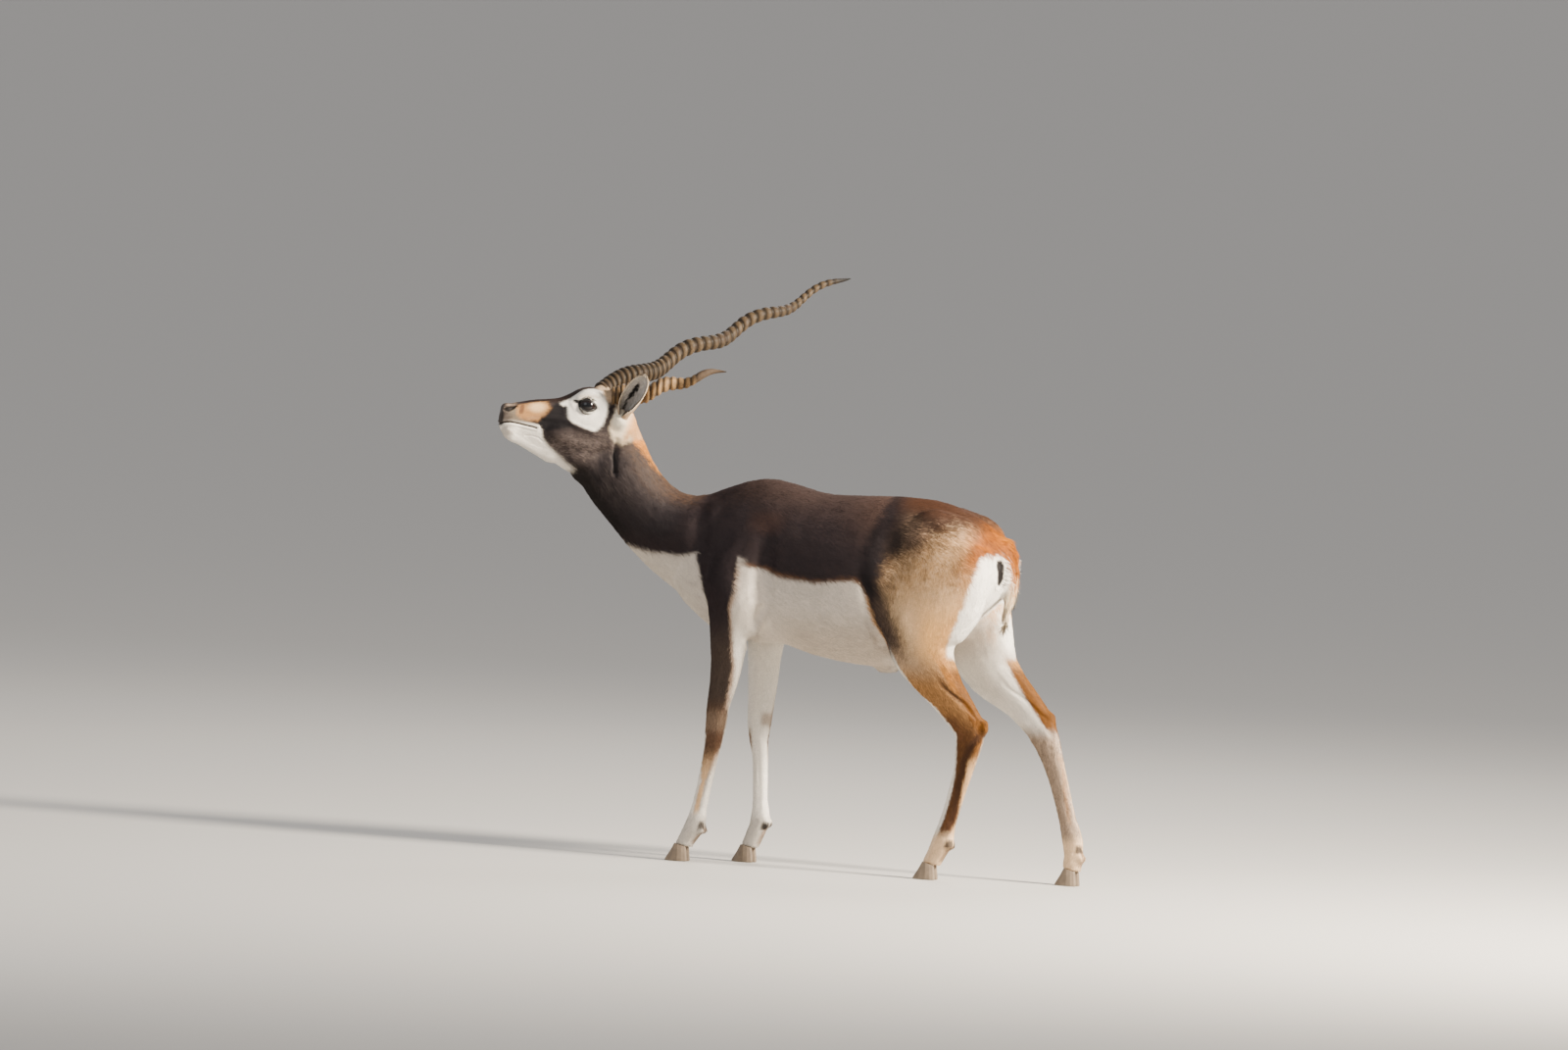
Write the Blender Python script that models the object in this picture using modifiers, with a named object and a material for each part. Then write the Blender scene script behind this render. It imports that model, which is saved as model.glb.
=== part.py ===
"""A standing male blackbuck, life size, as one still model.

The animal faces -X, its left side is towards -Y and +Z is up. The ground is z = 0. Lengths are in metres.
"""
import math
import random

import bmesh
import bpy
import numpy as np
from mathutils import Matrix, Vector

GAP = 0.0003
BODY_VOXEL = 0.0036
BODY_TRIANGLES = 4700
HEAD_SOURCE_TRIANGLES = 21000

# The head's own frame: a point between the ears, the way the face points, and the animal's right.
HEAD_YAW = math.radians(30)
HEAD_POINT = Vector((-0.5254, -0.045, 0.0))
FACING = Vector((-math.cos(HEAD_YAW), -math.sin(HEAD_YAW), 0.0))
HEAD_RIGHT = Vector((-math.sin(HEAD_YAW), math.cos(HEAD_YAW), 0.0))
UP = Vector((0.0, 0.0, 1.0))

EYE_RADIUS = 0.0164
EYE_AHEAD = 0.069
EYE_OUT = 0.0312
EYE_HEIGHT = 0.8555
EYE_OPENING_LENGTH = 0.0360
EYE_OPENING_HEIGHT = 0.0235

CORONET_HEIGHT = 0.031
CLAW_HALF_WIDTH = 0.0082

# Torso sections along the spine: x, top, height of the widest place, bottom, half width.
TORSO = [
    (-0.415, 0.655, 0.585, 0.525, 0.040),
    (-0.390, 0.690, 0.580, 0.492, 0.066),
    (-0.350, 0.699, 0.570, 0.458, 0.080),
    (-0.310, 0.715, 0.565, 0.434, 0.088),
    (-0.265, 0.731, 0.560, 0.422, 0.094),
    (-0.225, 0.737, 0.556, 0.420, 0.098),
    (-0.180, 0.731, 0.552, 0.420, 0.105),
    (-0.117, 0.717, 0.548, 0.404, 0.116),
    (-0.060, 0.716, 0.545, 0.395, 0.124),
    (0.000, 0.719, 0.548, 0.391, 0.127),
    (0.060, 0.720, 0.555, 0.398, 0.122),
    (0.120, 0.716, 0.570, 0.425, 0.114),
    (0.171, 0.701, 0.580, 0.462, 0.104),
    (0.212, 0.680, 0.590, 0.500, 0.090),
    (0.250, 0.656, 0.598, 0.535, 0.066),
    (0.275, 0.628, 0.600, 0.570, 0.034),
]

# Neck sections: throat x and z, nape x and z, sideways place, half width, turn in degrees.
NECK = [
    (-0.400, 0.505, -0.300, 0.712, 0.000, 0.080, 0),
    (-0.450, 0.538, -0.350, 0.696, 0.000, 0.074, 0),
    (-0.505, 0.586, -0.398, 0.697, -0.004, 0.067, 4),
    (-0.543, 0.630, -0.432, 0.718, -0.014, 0.062, 9),
    (-0.571, 0.664, -0.456, 0.750, -0.025, 0.058, 15),
    (-0.594, 0.697, -0.472, 0.782, -0.035, 0.054, 22),
    (-0.614, 0.718, -0.486, 0.812, -0.042, 0.047, 27),
    (-0.626, 0.752, -0.500, 0.846, -0.045, 0.036, 30),
]

# Head sections from the nose back: distance ahead, top, height of the widest place, bottom, half width.
HEAD = [
    (0.2305, 0.8280, 0.8205, 0.8085, 0.0085),
    (0.2260, 0.8358, 0.8210, 0.7985, 0.0142),
    (0.2160, 0.8458, 0.8220, 0.7910, 0.0180),
    (0.2040, 0.8520, 0.8210, 0.7820, 0.0200),
    (0.1880, 0.8555, 0.8190, 0.7760, 0.0208),
    (0.1650, 0.8600, 0.8170, 0.7640, 0.0235),
    (0.1400, 0.8622, 0.8150, 0.7500, 0.0275),
    (0.1150, 0.8655, 0.8160, 0.7355, 0.0325),
    (0.0950, 0.8740, 0.8220, 0.7240, 0.0375),
    (0.0750, 0.8850, 0.8320, 0.7170, 0.0410),
    (0.0550, 0.8885, 0.8380, 0.7150, 0.0430),
    (0.0350, 0.8860, 0.8350, 0.7190, 0.0425),
    (0.0150, 0.8780, 0.8250, 0.7260, 0.0410),
    (-0.0050, 0.8660, 0.8120, 0.7420, 0.0385),
    (-0.0220, 0.8480, 0.8080, 0.7650, 0.0340),
    (-0.0350, 0.8300, 0.8060, 0.7850, 0.0240),
]

# Limb sections from the body down: x, y, z, half width, half depth.
HIND_LEFT = [
    (0.150, -0.058, 0.640, 0.055, 0.098),
    (0.146, -0.068, 0.590, 0.056, 0.110),
    (0.140, -0.077, 0.555, 0.055, 0.113),
    (0.135, -0.086, 0.512, 0.050, 0.106),
    (0.131, -0.092, 0.469, 0.044, 0.087),
    (0.133, -0.093, 0.434, 0.039, 0.067),
    (0.150, -0.090, 0.398, 0.033, 0.051),
    (0.182, -0.085, 0.354, 0.027, 0.038),
    (0.213, -0.080, 0.314, 0.022, 0.033),
    (0.228, -0.075, 0.282, 0.020, 0.030),
    (0.223, -0.070, 0.246, 0.0175, 0.0245),
    (0.216, -0.066, 0.210, 0.0150, 0.0195),
    (0.205, -0.063, 0.172, 0.0138, 0.0178),
    (0.194, -0.060, 0.132, 0.0135, 0.0170),
    (0.186, -0.060, 0.102, 0.0150, 0.0180),
    (0.180, -0.060, 0.076, 0.0172, 0.0212),
    (0.168, -0.060, 0.049, 0.0155, 0.0188),
    (0.155, -0.060, 0.022, 0.0155, 0.0180),
]
HIND_RIGHT = [
    (0.152, 0.058, 0.640, 0.055, 0.098),
    (0.154, 0.069, 0.580, 0.056, 0.095),
    (0.161, 0.082, 0.520, 0.050, 0.080),
    (0.175, 0.089, 0.464, 0.044, 0.071),
    (0.190, 0.090, 0.425, 0.039, 0.064),
    (0.213, 0.087, 0.391, 0.033, 0.054),
    (0.246, 0.082, 0.362, 0.028, 0.043),
    (0.277, 0.080, 0.336, 0.025, 0.036),
    (0.309, 0.075, 0.304, 0.0215, 0.032),
    (0.328, 0.070, 0.276, 0.0195, 0.028),
    (0.345, 0.066, 0.240, 0.0165, 0.022),
    (0.359, 0.063, 0.204, 0.0143, 0.0192),
    (0.373, 0.060, 0.165, 0.0135, 0.0178),
    (0.385, 0.060, 0.124, 0.0137, 0.0172),
    (0.396, 0.060, 0.090, 0.0168, 0.0205),
    (0.401, 0.060, 0.060, 0.0160, 0.0195),
    (0.398, 0.060, 0.024, 0.0155, 0.0185),
]
FORE_LEFT = [
    (-0.215, -0.046, 0.650, 0.032, 0.056),
    (-0.240, -0.066, 0.585, 0.038, 0.064),
    (-0.256, -0.078, 0.525, 0.040, 0.061),
    (-0.259, -0.080, 0.470, 0.036, 0.050),
    (-0.266, -0.077, 0.425, 0.031, 0.038),
    (-0.269, -0.073, 0.385, 0.027, 0.032),
    (-0.277, -0.068, 0.337, 0.0225, 0.0265),
    (-0.286, -0.063, 0.299, 0.0200, 0.0222),
    (-0.290, -0.060, 0.258, 0.0190, 0.0200),
    (-0.294, -0.058, 0.228, 0.0165, 0.0175),
    (-0.300, -0.056, 0.194, 0.0140, 0.0155),
    (-0.309, -0.055, 0.143, 0.0132, 0.0150),
    (-0.317, -0.055, 0.100, 0.0140, 0.0162),
    (-0.323, -0.055, 0.070, 0.0168, 0.0198),
    (-0.337, -0.055, 0.044, 0.0152, 0.0175),
    (-0.349, -0.055, 0.020, 0.0152, 0.0170),
]
FORE_RIGHT = [
    (-0.215, 0.046, 0.650, 0.032, 0.056),
    (-0.235, 0.064, 0.585, 0.038, 0.062),
    (-0.246, 0.076, 0.525, 0.040, 0.058),
    (-0.248, 0.078, 0.470, 0.036, 0.048),
    (-0.247, 0.076, 0.430, 0.031, 0.039),
    (-0.247, 0.073, 0.390, 0.027, 0.033),
    (-0.246, 0.069, 0.350, 0.0240, 0.030),
    (-0.246, 0.065, 0.306, 0.0215, 0.0265),
    (-0.246, 0.061, 0.268, 0.0195, 0.0240),
    (-0.244, 0.058, 0.232, 0.0165, 0.0190),
    (-0.239, 0.056, 0.202, 0.0140, 0.0158),
    (-0.236, 0.055, 0.154, 0.0132, 0.0150),
    (-0.234, 0.055, 0.117, 0.0136, 0.0154),
    (-0.232, 0.055, 0.084, 0.0165, 0.0188),
    (-0.240, 0.055, 0.056, 0.0155, 0.0180),
    (-0.254, 0.055, 0.022, 0.0152, 0.0172),
]

# Where each foot stands: x of the foot's middle, y, and the turn of the toes in degrees.
FEET = {
    "fore_left": (-0.3505, -0.055, 3),
    "fore_right": (-0.2560, 0.055, -3),
    "hind_left": (0.1530, -0.060, 3),
    "hind_right": (0.3960, 0.060, -3),
}


def head_place(ahead, right, height):
    """A point given along the face, to the animal's right and above the ground."""
    return HEAD_POINT + FACING * ahead + HEAD_RIGHT * right + UP * height


def clear_scene():
    """Empty the scene of what Blender opens with."""
    for old in list(bpy.data.objects):
        bpy.data.objects.remove(old, do_unlink=True)


def make_material(name, colour, roughness):
    """A plain principled material."""
    material = bpy.data.materials.new(name)
    material.use_nodes = True
    shader = material.node_tree.nodes["Principled BSDF"]
    shader.inputs["Base Color"].default_value = (*colour, 1.0)
    shader.inputs["Roughness"].default_value = roughness
    shader.inputs["Metallic"].default_value = 0.0
    return material


def add_object(name, mesh, collection):
    """Put a mesh in the scene under its node's name."""
    obj = bpy.data.objects.new(name, mesh)
    collection.objects.link(obj)
    return obj


def mesh_from(name, bm):
    """Turn a bmesh into mesh data, with its faces facing out."""
    bmesh.ops.recalc_face_normals(bm, faces=bm.faces)
    if bm.calc_volume(signed=True) < 0:
        bmesh.ops.reverse_faces(bm, faces=bm.faces)
    mesh = bpy.data.meshes.new(name)
    bm.to_mesh(mesh)
    bm.free()
    return mesh


def smooth_rows(rows, steps):
    """A smooth curve through rows of numbers, with so many steps between each two."""
    rows = np.array(rows, dtype=float)
    padded = np.vstack([2 * rows[0] - rows[1], rows, 2 * rows[-1] - rows[-2]])
    result = []
    for index in range(1, len(padded) - 2):
        before, start, end, after = padded[index - 1:index + 3]
        for step in range(steps):
            t = step / steps
            slope = (end - before) * t
            curve = (2 * before - 5 * start + 4 * end - after) * t ** 2
            twist = (3 * start - before - 3 * end + after) * t ** 3
            result.append(0.5 * (2 * start + slope + curve + twist))
    result.append(rows[-1])
    return result


def section(centre, across, up, width, rise, drop, square_top, square_low, count):
    """A closed rounded outline, whose upper and lower halves may differ."""
    points = []
    for index in range(count):
        angle = 2 * math.pi * index / count
        cosine, sine = math.cos(angle), math.sin(angle)
        square = square_top if sine >= 0 else square_low
        height = rise if sine >= 0 else drop
        x = math.copysign(abs(cosine) ** (2 / square), cosine) * width
        y = math.copysign(abs(sine) ** (2 / square), sine) * height
        points.append(Vector(centre) + Vector(across) * x + Vector(up) * y)
    return points


def skin_rings(name, rings):
    """A closed solid through a list of rings of equal length."""
    bm = bmesh.new()
    loops = []
    for ring in rings:
        loops.append([bm.verts.new(point) for point in ring])
    count = len(loops[0])
    for low, high in zip(loops, loops[1:]):
        for index in range(count):
            after = (index + 1) % count
            bm.faces.new((low[index], low[after], high[after], high[index]))
    bm.faces.new(loops[0])
    bm.faces.new(list(reversed(loops[-1])))
    return mesh_from(name, bm)


def torso_mesh():
    """The trunk, as sections across the spine."""
    rings = []
    for x, top, wide, bottom, half in smooth_rows(TORSO, 4):
        rings.append(section((x, 0, wide), (0, 1, 0), UP, half, top - wide, wide - bottom, 1.86, 2.05, 36))
    return skin_rings("torso_form", rings)


def neck_mesh():
    """The neck, as sections from throat to nape that turn with the head."""
    rings = []
    for low_x, low_z, high_x, high_z, side, half, turn in smooth_rows(NECK, 4):
        yaw = math.radians(turn)
        back = Vector((math.cos(yaw), math.sin(yaw), 0))
        right = Vector((-math.sin(yaw), math.cos(yaw), 0))
        centre = Vector(((low_x + high_x) / 2, side, (low_z + high_z) / 2))
        reach = back * (high_x - low_x) + UP * (high_z - low_z)
        depth = reach.length / 2
        rings.append(section(centre, right, reach.normalized(), half, depth, depth, 1.9, 2.1, 32))
    return skin_rings("neck_form", rings)


def head_mesh():
    """The skull and jaw, as sections across the face."""
    rings = []
    for ahead, top, wide, bottom, half in smooth_rows(HEAD, 4):
        centre = head_place(ahead, 0, wide)
        rings.append(section(centre, HEAD_RIGHT, UP, half, top - wide, wide - bottom, 2.25, 1.75, 32))
    return skin_rings("head_form", rings)


def limb_mesh(name, rows):
    """A limb, as sections square to its own run."""
    rows = smooth_rows(rows, 3)
    rings = []
    for index, row in enumerate(rows):
        before = Vector(rows[max(index - 1, 0)][:3])
        after = Vector(rows[min(index + 1, len(rows) - 1)][:3])
        run = (after - before).normalized()
        ahead = run.cross(Vector((0, 1, 0))).normalized()
        across = ahead.cross(run).normalized()
        rings.append(section(row[:3], across, ahead, row[3], row[4], row[4], 2.1, 2.1, 24))
    return skin_rings(name, rings)


def ball_mesh(name, centre, radii, axes=None, segments=20, rings=12):
    """A ball stretched along three axes."""
    bm = bmesh.new()
    bmesh.ops.create_uvsphere(bm, u_segments=segments, v_segments=rings, radius=1.0)
    axes = axes or (Vector((1, 0, 0)), Vector((0, 1, 0)), UP)
    for vertex in bm.verts:
        local = vertex.co.copy()
        vertex.co = Vector(centre)
        for axis, radius, value in zip(axes, radii, local):
            vertex.co += axis * radius * value
    return mesh_from(name, bm)


HEAD_AXES = (FACING, HEAD_RIGHT, UP)


def head_balls():
    """The swellings of the head: eye sockets, horn stumps, ear roots, cheeks, nose pad and lips."""
    meshes = []
    for side in (-1, 1):
        meshes.append(ball_mesh("orbit", head_place(EYE_AHEAD, side * 0.0278, 0.8562), (0.0275, 0.0232, 0.0228),
                                HEAD_AXES))
        meshes.append(ball_mesh("brow", head_place(0.058, side * 0.025, 0.872), (0.026, 0.017, 0.014), HEAD_AXES))
        meshes.append(ball_mesh("jaw", head_place(0.060, side * 0.019, 0.757), (0.040, 0.015, 0.030), HEAD_AXES))
        meshes.append(ball_mesh("cheek", head_place(0.095, side * 0.024, 0.805), (0.045, 0.013, 0.030), HEAD_AXES))
        meshes.append(ball_mesh("lip", head_place(0.203, side * 0.0105, 0.8085), (0.021, 0.0105, 0.0125),
                                HEAD_AXES))
        meshes.append(ball_mesh("nostril_wing", head_place(0.217, side * 0.0100, 0.8360), (0.011, 0.0085, 0.0125),
                                HEAD_AXES))
        meshes.append(ball_mesh("ear_root", head_place(0.002, side * 0.036, 0.833), (0.016, 0.013, 0.019),
                                HEAD_AXES))
    meshes.append(ball_mesh("stump_right", head_place(0.029, 0.0185, 0.872), (0.021, 0.0180, 0.022), HEAD_AXES))
    meshes.append(ball_mesh("stump_left", head_place(0.016, -0.0185, 0.868), (0.020, 0.0175, 0.019), HEAD_AXES))
    return meshes


def body_balls():
    """The swellings of the trunk and limbs, and the small claws behind each fetlock."""
    meshes = [ball_mesh("sheath", (0.026, 0, 0.398), (0.032, 0.012, 0.020))]
    for rows, side in ((FORE_LEFT, 1), (FORE_RIGHT, 1), (HIND_LEFT, 1), (HIND_RIGHT, 1)):
        fetlock = min(rows, key=lambda row: abs(row[2] - 0.074))
        for offset in (-0.0085, 0.0085):
            place = (fetlock[0] + 0.017, fetlock[1] + offset, fetlock[2] - 0.008)
            meshes.append(ball_mesh("dewclaw", place, (0.0075, 0.0055, 0.0095)))
    for side in (-1, 1):
        meshes.append(ball_mesh("elbow", (-0.222, side * 0.084, 0.458), (0.022, 0.020, 0.028)))
        meshes.append(ball_mesh("haunch", (0.140, side * 0.056, 0.640), (0.095, 0.050, 0.060)))
    meshes.append(ball_mesh("hock_left", (0.252, -0.075, 0.296), (0.014, 0.011, 0.018)))
    meshes.append(ball_mesh("hock_right", (0.333, 0.074, 0.309), (0.014, 0.011, 0.018)))
    return meshes


def join_meshes(name, meshes, collection):
    """Gather meshes in one object, still as separate shells."""
    bm = bmesh.new()
    for mesh in meshes:
        bm.from_mesh(mesh)
    joined = bpy.data.meshes.new(name)
    bm.to_mesh(joined)
    bm.free()
    return add_object(name, joined, collection)


def evaluated_mesh(obj):
    """The mesh of an object after its modifiers."""
    depsgraph = bpy.context.evaluated_depsgraph_get()
    depsgraph.update()
    return bpy.data.meshes.new_from_object(obj.evaluated_get(depsgraph))


def bake(obj):
    """Keep the result of an object's modifiers as its own mesh."""
    mesh = evaluated_mesh(obj)
    obj.modifiers.clear()
    obj.data = mesh
    return obj


def voxel_union(obj, size):
    """Melt the shells of an object into one even surface."""
    remesh = obj.modifiers.new("Melt", "REMESH")
    remesh.mode = "VOXEL"
    remesh.voxel_size = size
    remesh.adaptivity = 0.0
    return bake(obj)


def smooth_object(obj, factor, times, place_weight=None):
    """Even out the surface, everywhere or by a weight at each place."""
    modifier = obj.modifiers.new("Even", "SMOOTH")
    modifier.factor = factor
    modifier.iterations = times
    if place_weight:
        group = obj.vertex_groups.new(name="even")
        for vertex in obj.data.vertices:
            group.add([vertex.index], place_weight(vertex.co), "REPLACE")
        modifier.vertex_group = "even"
    bake(obj)
    obj.vertex_groups.clear()
    return obj


def trunk_weight(place):
    """One on the trunk, shoulders and haunches, and nothing on the head, lower limbs and ears."""
    rise = (place.z - 0.430) / 0.060
    ahead = (place.x + 0.500) / 0.080
    return max(0.0, min(1.0, rise, ahead))


def thin_out(obj, triangles):
    """Bring an object down to about so many triangles."""
    bm = bmesh.new()
    bm.from_mesh(obj.data)
    bmesh.ops.triangulate(bm, faces=bm.faces)
    bm.to_mesh(obj.data)
    count = len(bm.faces)
    bm.free()
    modifier = obj.modifiers.new("Thin", "DECIMATE")
    modifier.ratio = min(1.0, triangles / count)
    return bake(obj)


def copy_object(obj, name, collection):
    """A second object with its own copy of the mesh."""
    return add_object(name, obj.data.copy(), collection)


def sculpt(obj, strokes):
    """Raise or lower soft round places: centre, three radii and the height of each."""
    mesh = obj.data
    count = len(mesh.vertices)
    places = np.empty(count * 3)
    normals = np.empty(count * 3)
    mesh.vertices.foreach_get("co", places)
    mesh.vertices.foreach_get("normal", normals)
    places = places.reshape(-1, 3)
    normals = normals.reshape(-1, 3)
    move = np.zeros(count)
    for centre, radii, height in strokes:
        distance = np.sum(((places - np.array(centre)) / np.array(radii)) ** 2, axis=1)
        move += height * np.clip(1 - distance, 0, None) ** 2
    mesh.vertices.foreach_set("co", (places + normals * move[:, None]).ravel())
    mesh.update()


def body_strokes():
    """The muscles and hollows that show through the coat, alike on both sides."""
    strokes = []
    for side in (-1, 1):
        strokes.append(((-0.295, side * 0.090, 0.560), (0.055, 0.060, 0.070), 0.007))
        strokes.append(((-0.200, side * 0.085, 0.560), (0.030, 0.060, 0.110), -0.006))
        strokes.append(((-0.240, side * 0.100, 0.500), (0.060, 0.060, 0.055), 0.006))
        strokes.append(((0.070, side * 0.115, 0.620), (0.060, 0.060, 0.075), -0.008))
        strokes.append(((0.125, side * 0.080, 0.690), (0.040, 0.060, 0.030), 0.007))
        strokes.append(((0.215, side * 0.085, 0.590), (0.050, 0.060, 0.080), 0.005))
        strokes.append(((-0.345, side * 0.080, 0.640), (0.030, 0.070, 0.070), -0.006))
        strokes.append(((0.095, side * 0.120, 0.470), (0.035, 0.050, 0.060), 0.005))
    strokes.append(((-0.420, 0.0, 0.500), (0.060, 0.020, 0.060), -0.003))
    return strokes


def slab(name, centre, normal, along, length, breadth, collection, thickness=GAP):
    """A thin plate that parts a limb from the body."""
    bm = bmesh.new()
    bmesh.ops.create_cube(bm, size=1.0)
    normal = Vector(normal).normalized()
    along = Vector(along)
    along = (along - normal * along.dot(normal)).normalized()
    turn = Matrix((along, normal.cross(along), normal)).transposed().to_4x4()
    size = Matrix.Diagonal((length, breadth, thickness, 1))
    bmesh.ops.transform(bm, matrix=Matrix.Translation(Vector(centre)) @ turn @ size, verts=bm.verts)
    return add_object(name, mesh_from(name, bm), collection)


def cut(obj, cutters, operation="DIFFERENCE", solver="EXACT"):
    """Cut with all cutters at once, and remove them."""
    group = bpy.data.collections.new("cut_group")
    bpy.context.scene.collection.children.link(group)
    for cutter in cutters:
        for home in list(cutter.users_collection):
            home.objects.unlink(cutter)
        group.objects.link(cutter)
    modifier = obj.modifiers.new("Cut", "BOOLEAN")
    modifier.operand_type = "COLLECTION"
    modifier.collection = group
    modifier.operation = operation
    modifier.solver = solver
    bake(obj)
    for cutter in list(group.objects):
        bpy.data.objects.remove(cutter, do_unlink=True)
    bpy.data.collections.remove(group)
    return obj


def shells(bm):
    """The connected pieces of a bmesh, as lists of faces."""
    left = set(bm.faces)
    groups = []
    while left:
        start = left.pop()
        group = [start]
        stack = [start]
        while stack:
            face = stack.pop()
            for edge in face.edges:
                for other in edge.link_faces:
                    if other in left:
                        left.remove(other)
                        group.append(other)
                        stack.append(other)
        groups.append(group)
    return groups


def shell_volume(faces):
    """The volume inside a closed group of faces."""
    total = 0.0
    for face in faces:
        first = face.verts[0].co
        for index in range(1, len(face.verts) - 1):
            total += first.dot(face.verts[index].co.cross(face.verts[index + 1].co)) / 6
    return total


def keep_largest(obj):
    """Leave only the largest closed surface."""
    bm = bmesh.new()
    bm.from_mesh(obj.data)
    groups = sorted(shells(bm), key=lambda faces: abs(shell_volume(faces)), reverse=True)
    spare = [face for group in groups[1:] for face in group]
    bmesh.ops.delete(bm, geom=spare, context="FACES")
    bm.to_mesh(obj.data)
    bm.free()
    return obj


def tidy(obj):
    """Weld what a cut left doubled, and drop faces without area."""
    bm = bmesh.new()
    bm.from_mesh(obj.data)
    bmesh.ops.triangulate(bm, faces=bm.faces)
    bmesh.ops.remove_doubles(bm, verts=bm.verts, dist=0.00004)
    bmesh.ops.dissolve_degenerate(bm, edges=bm.edges, dist=0.00003)
    bmesh.ops.triangulate(bm, faces=bm.faces)
    bm.to_mesh(obj.data)
    bm.free()
    return keep_largest(obj)


def inflate(obj, amount, name, collection):
    """A copy grown outwards by a small amount."""
    grown = copy_object(obj, name, collection)
    mesh = grown.data
    for vertex, normal in zip(mesh.vertices, [v.normal.copy() for v in mesh.vertices]):
        vertex.co = vertex.co + normal * amount
    mesh.update()
    return grown


HEAD_CUT_CENTRE = Vector((-0.5470, -0.0420, 0.7680))
HEAD_CUT_NORMAL = (FACING * 0.60 + UP * 0.80).normalized()
NECK_CUT_CENTRE = Vector((-0.3900, 0.0, 0.6100))
NECK_CUT_NORMAL = Vector((-0.93, 0.0, 0.36)).normalized()


def part_cuts(collection):
    """Plates at the neck, shoulders, groin, knees and hocks."""
    plates = [slab("neck_plate", NECK_CUT_CENTRE, NECK_CUT_NORMAL, (0, 1, 0), 0.30, 0.34, collection)]
    plates.append(slab("head_plate", HEAD_CUT_CENTRE, HEAD_CUT_NORMAL, HEAD_RIGHT, 0.24, 0.26, collection))
    for side in (-1, 1):
        plates.append(slab("shoulder_plate", (-0.262, side * 0.0840, 0.4550), (0, side * 0.62, -0.785), (1, 0, 0),
                           0.170, 0.130, collection))
        centre = (0.140, -0.0930, 0.4230) if side < 0 else (0.185, 0.0930, 0.4330)
        plates.append(slab("groin_plate", centre, (-0.25, side * -0.50, 1.0), (1, 0, 0), 0.230, 0.135, collection))
    plates.append(slab("knee_plate_left", (-0.290, -0.060, 0.258), UP, (1, 0, 0), 0.09, 0.07, collection))
    plates.append(slab("knee_plate_right", (-0.246, 0.061, 0.258), UP, (1, 0, 0), 0.09, 0.07, collection))
    plates.append(slab("hock_plate_left", (0.226, -0.073, 0.270), UP, (1, 0, 0), 0.11, 0.07, collection))
    plates.append(slab("hock_plate_right", (0.330, 0.070, 0.270), UP, (1, 0, 0), 0.11, 0.07, collection))
    for foot, (x, y, turn) in FEET.items():
        plates.append(slab("coronet_" + foot, (x + 0.002, y, CORONET_HEIGHT), coronet_normal(turn), (1, 0, 0),
                           0.08, 0.07, collection))
    return plates


def coronet_normal(turn):
    """The plane where hair meets claw falls towards the heel."""
    yaw = math.radians(turn)
    return Vector((0.24 * math.cos(yaw), 0.24 * math.sin(yaw), 1.0)).normalized()


SEEDS = {
    "torso": (0.0, 0.0, 0.56),
    "neck": (-0.48, -0.01, 0.66),
    "foreleg_left_upper": (-0.275, -0.070, 0.35),
    "foreleg_right_upper": (-0.246, 0.070, 0.35),
    "hindleg_left_upper": (0.170, -0.095, 0.38),
    "hindleg_right_upper": (0.240, 0.090, 0.38),
    "foreleg_left_lower": (-0.310, -0.055, 0.14),
    "foreleg_right_lower": (-0.236, 0.055, 0.14),
    "hindleg_left_lower": (0.200, -0.062, 0.15),
    "hindleg_right_lower": (0.375, 0.060, 0.15),
}


def split_by_seed(obj, collection):
    """Name each piece of the parted body by the middle that it lies nearest to."""
    bm = bmesh.new()
    bm.from_mesh(obj.data)
    groups = shells(bm)
    made = {}
    for group in groups:
        if abs(shell_volume(group)) < 2e-6:
            continue
        middle = Vector((0, 0, 0))
        weight = 0.0
        for face in group:
            area = face.calc_area()
            middle += face.calc_center_median() * area
            weight += area
        middle /= weight
        name, gap = None, 1.0
        for seed, place in SEEDS.items():
            distance = (middle - Vector(place)).length
            if distance < gap:
                name, gap = seed, distance
        if gap > 0.10 or name in made:
            continue
        piece = bmesh.new()
        index = {}
        for face in group:
            corners = []
            for vertex in face.verts:
                if vertex not in index:
                    index[vertex] = piece.verts.new(vertex.co)
                corners.append(index[vertex])
            piece.faces.new(corners)
        made[name] = add_object(name, mesh_from(name, piece), collection)
    bm.free()
    return made


def half_space(name, centre, normal, size, collection):
    """A large block that keeps what lies on the normal's side of a plane."""
    return slab(name, Vector(centre) + Vector(normal).normalized() * (size / 2 + GAP / 2), normal, (0, 1, 0.01),
                size, size, collection, thickness=size)


def ring_tube(name, points, radius, sides=8):
    """A thin round bar through points, used to cut grooves."""
    curve = bpy.data.curves.new(name, "CURVE")
    curve.dimensions = "3D"
    curve.bevel_depth = radius
    curve.bevel_resolution = max(1, sides // 4 - 1)
    curve.use_fill_caps = True
    spline = curve.splines.new("POLY")
    spline.points.add(len(points) - 1)
    for place, point in zip(spline.points, points):
        place.co = (*point, 1.0)
    obj = bpy.data.objects.new(name, curve)
    bpy.context.scene.collection.objects.link(obj)
    mesh = evaluated_mesh(obj)
    bpy.data.objects.remove(obj, do_unlink=True)
    bm = bmesh.new()
    bm.from_mesh(mesh)
    bmesh.ops.remove_doubles(bm, verts=bm.verts, dist=0.00001)
    return mesh_from(name, bm)


def eye_axes(side):
    """The eye looks outwards, a little ahead and a little up."""
    look = (HEAD_RIGHT * side + FACING * 0.22 + UP * 0.10).normalized()
    along = (FACING - look * FACING.dot(look)).normalized()
    along = (along + UP * 0.17).normalized()
    return along, look, along.cross(look) * (1 if along.cross(look).z > 0 else -1)


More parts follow.
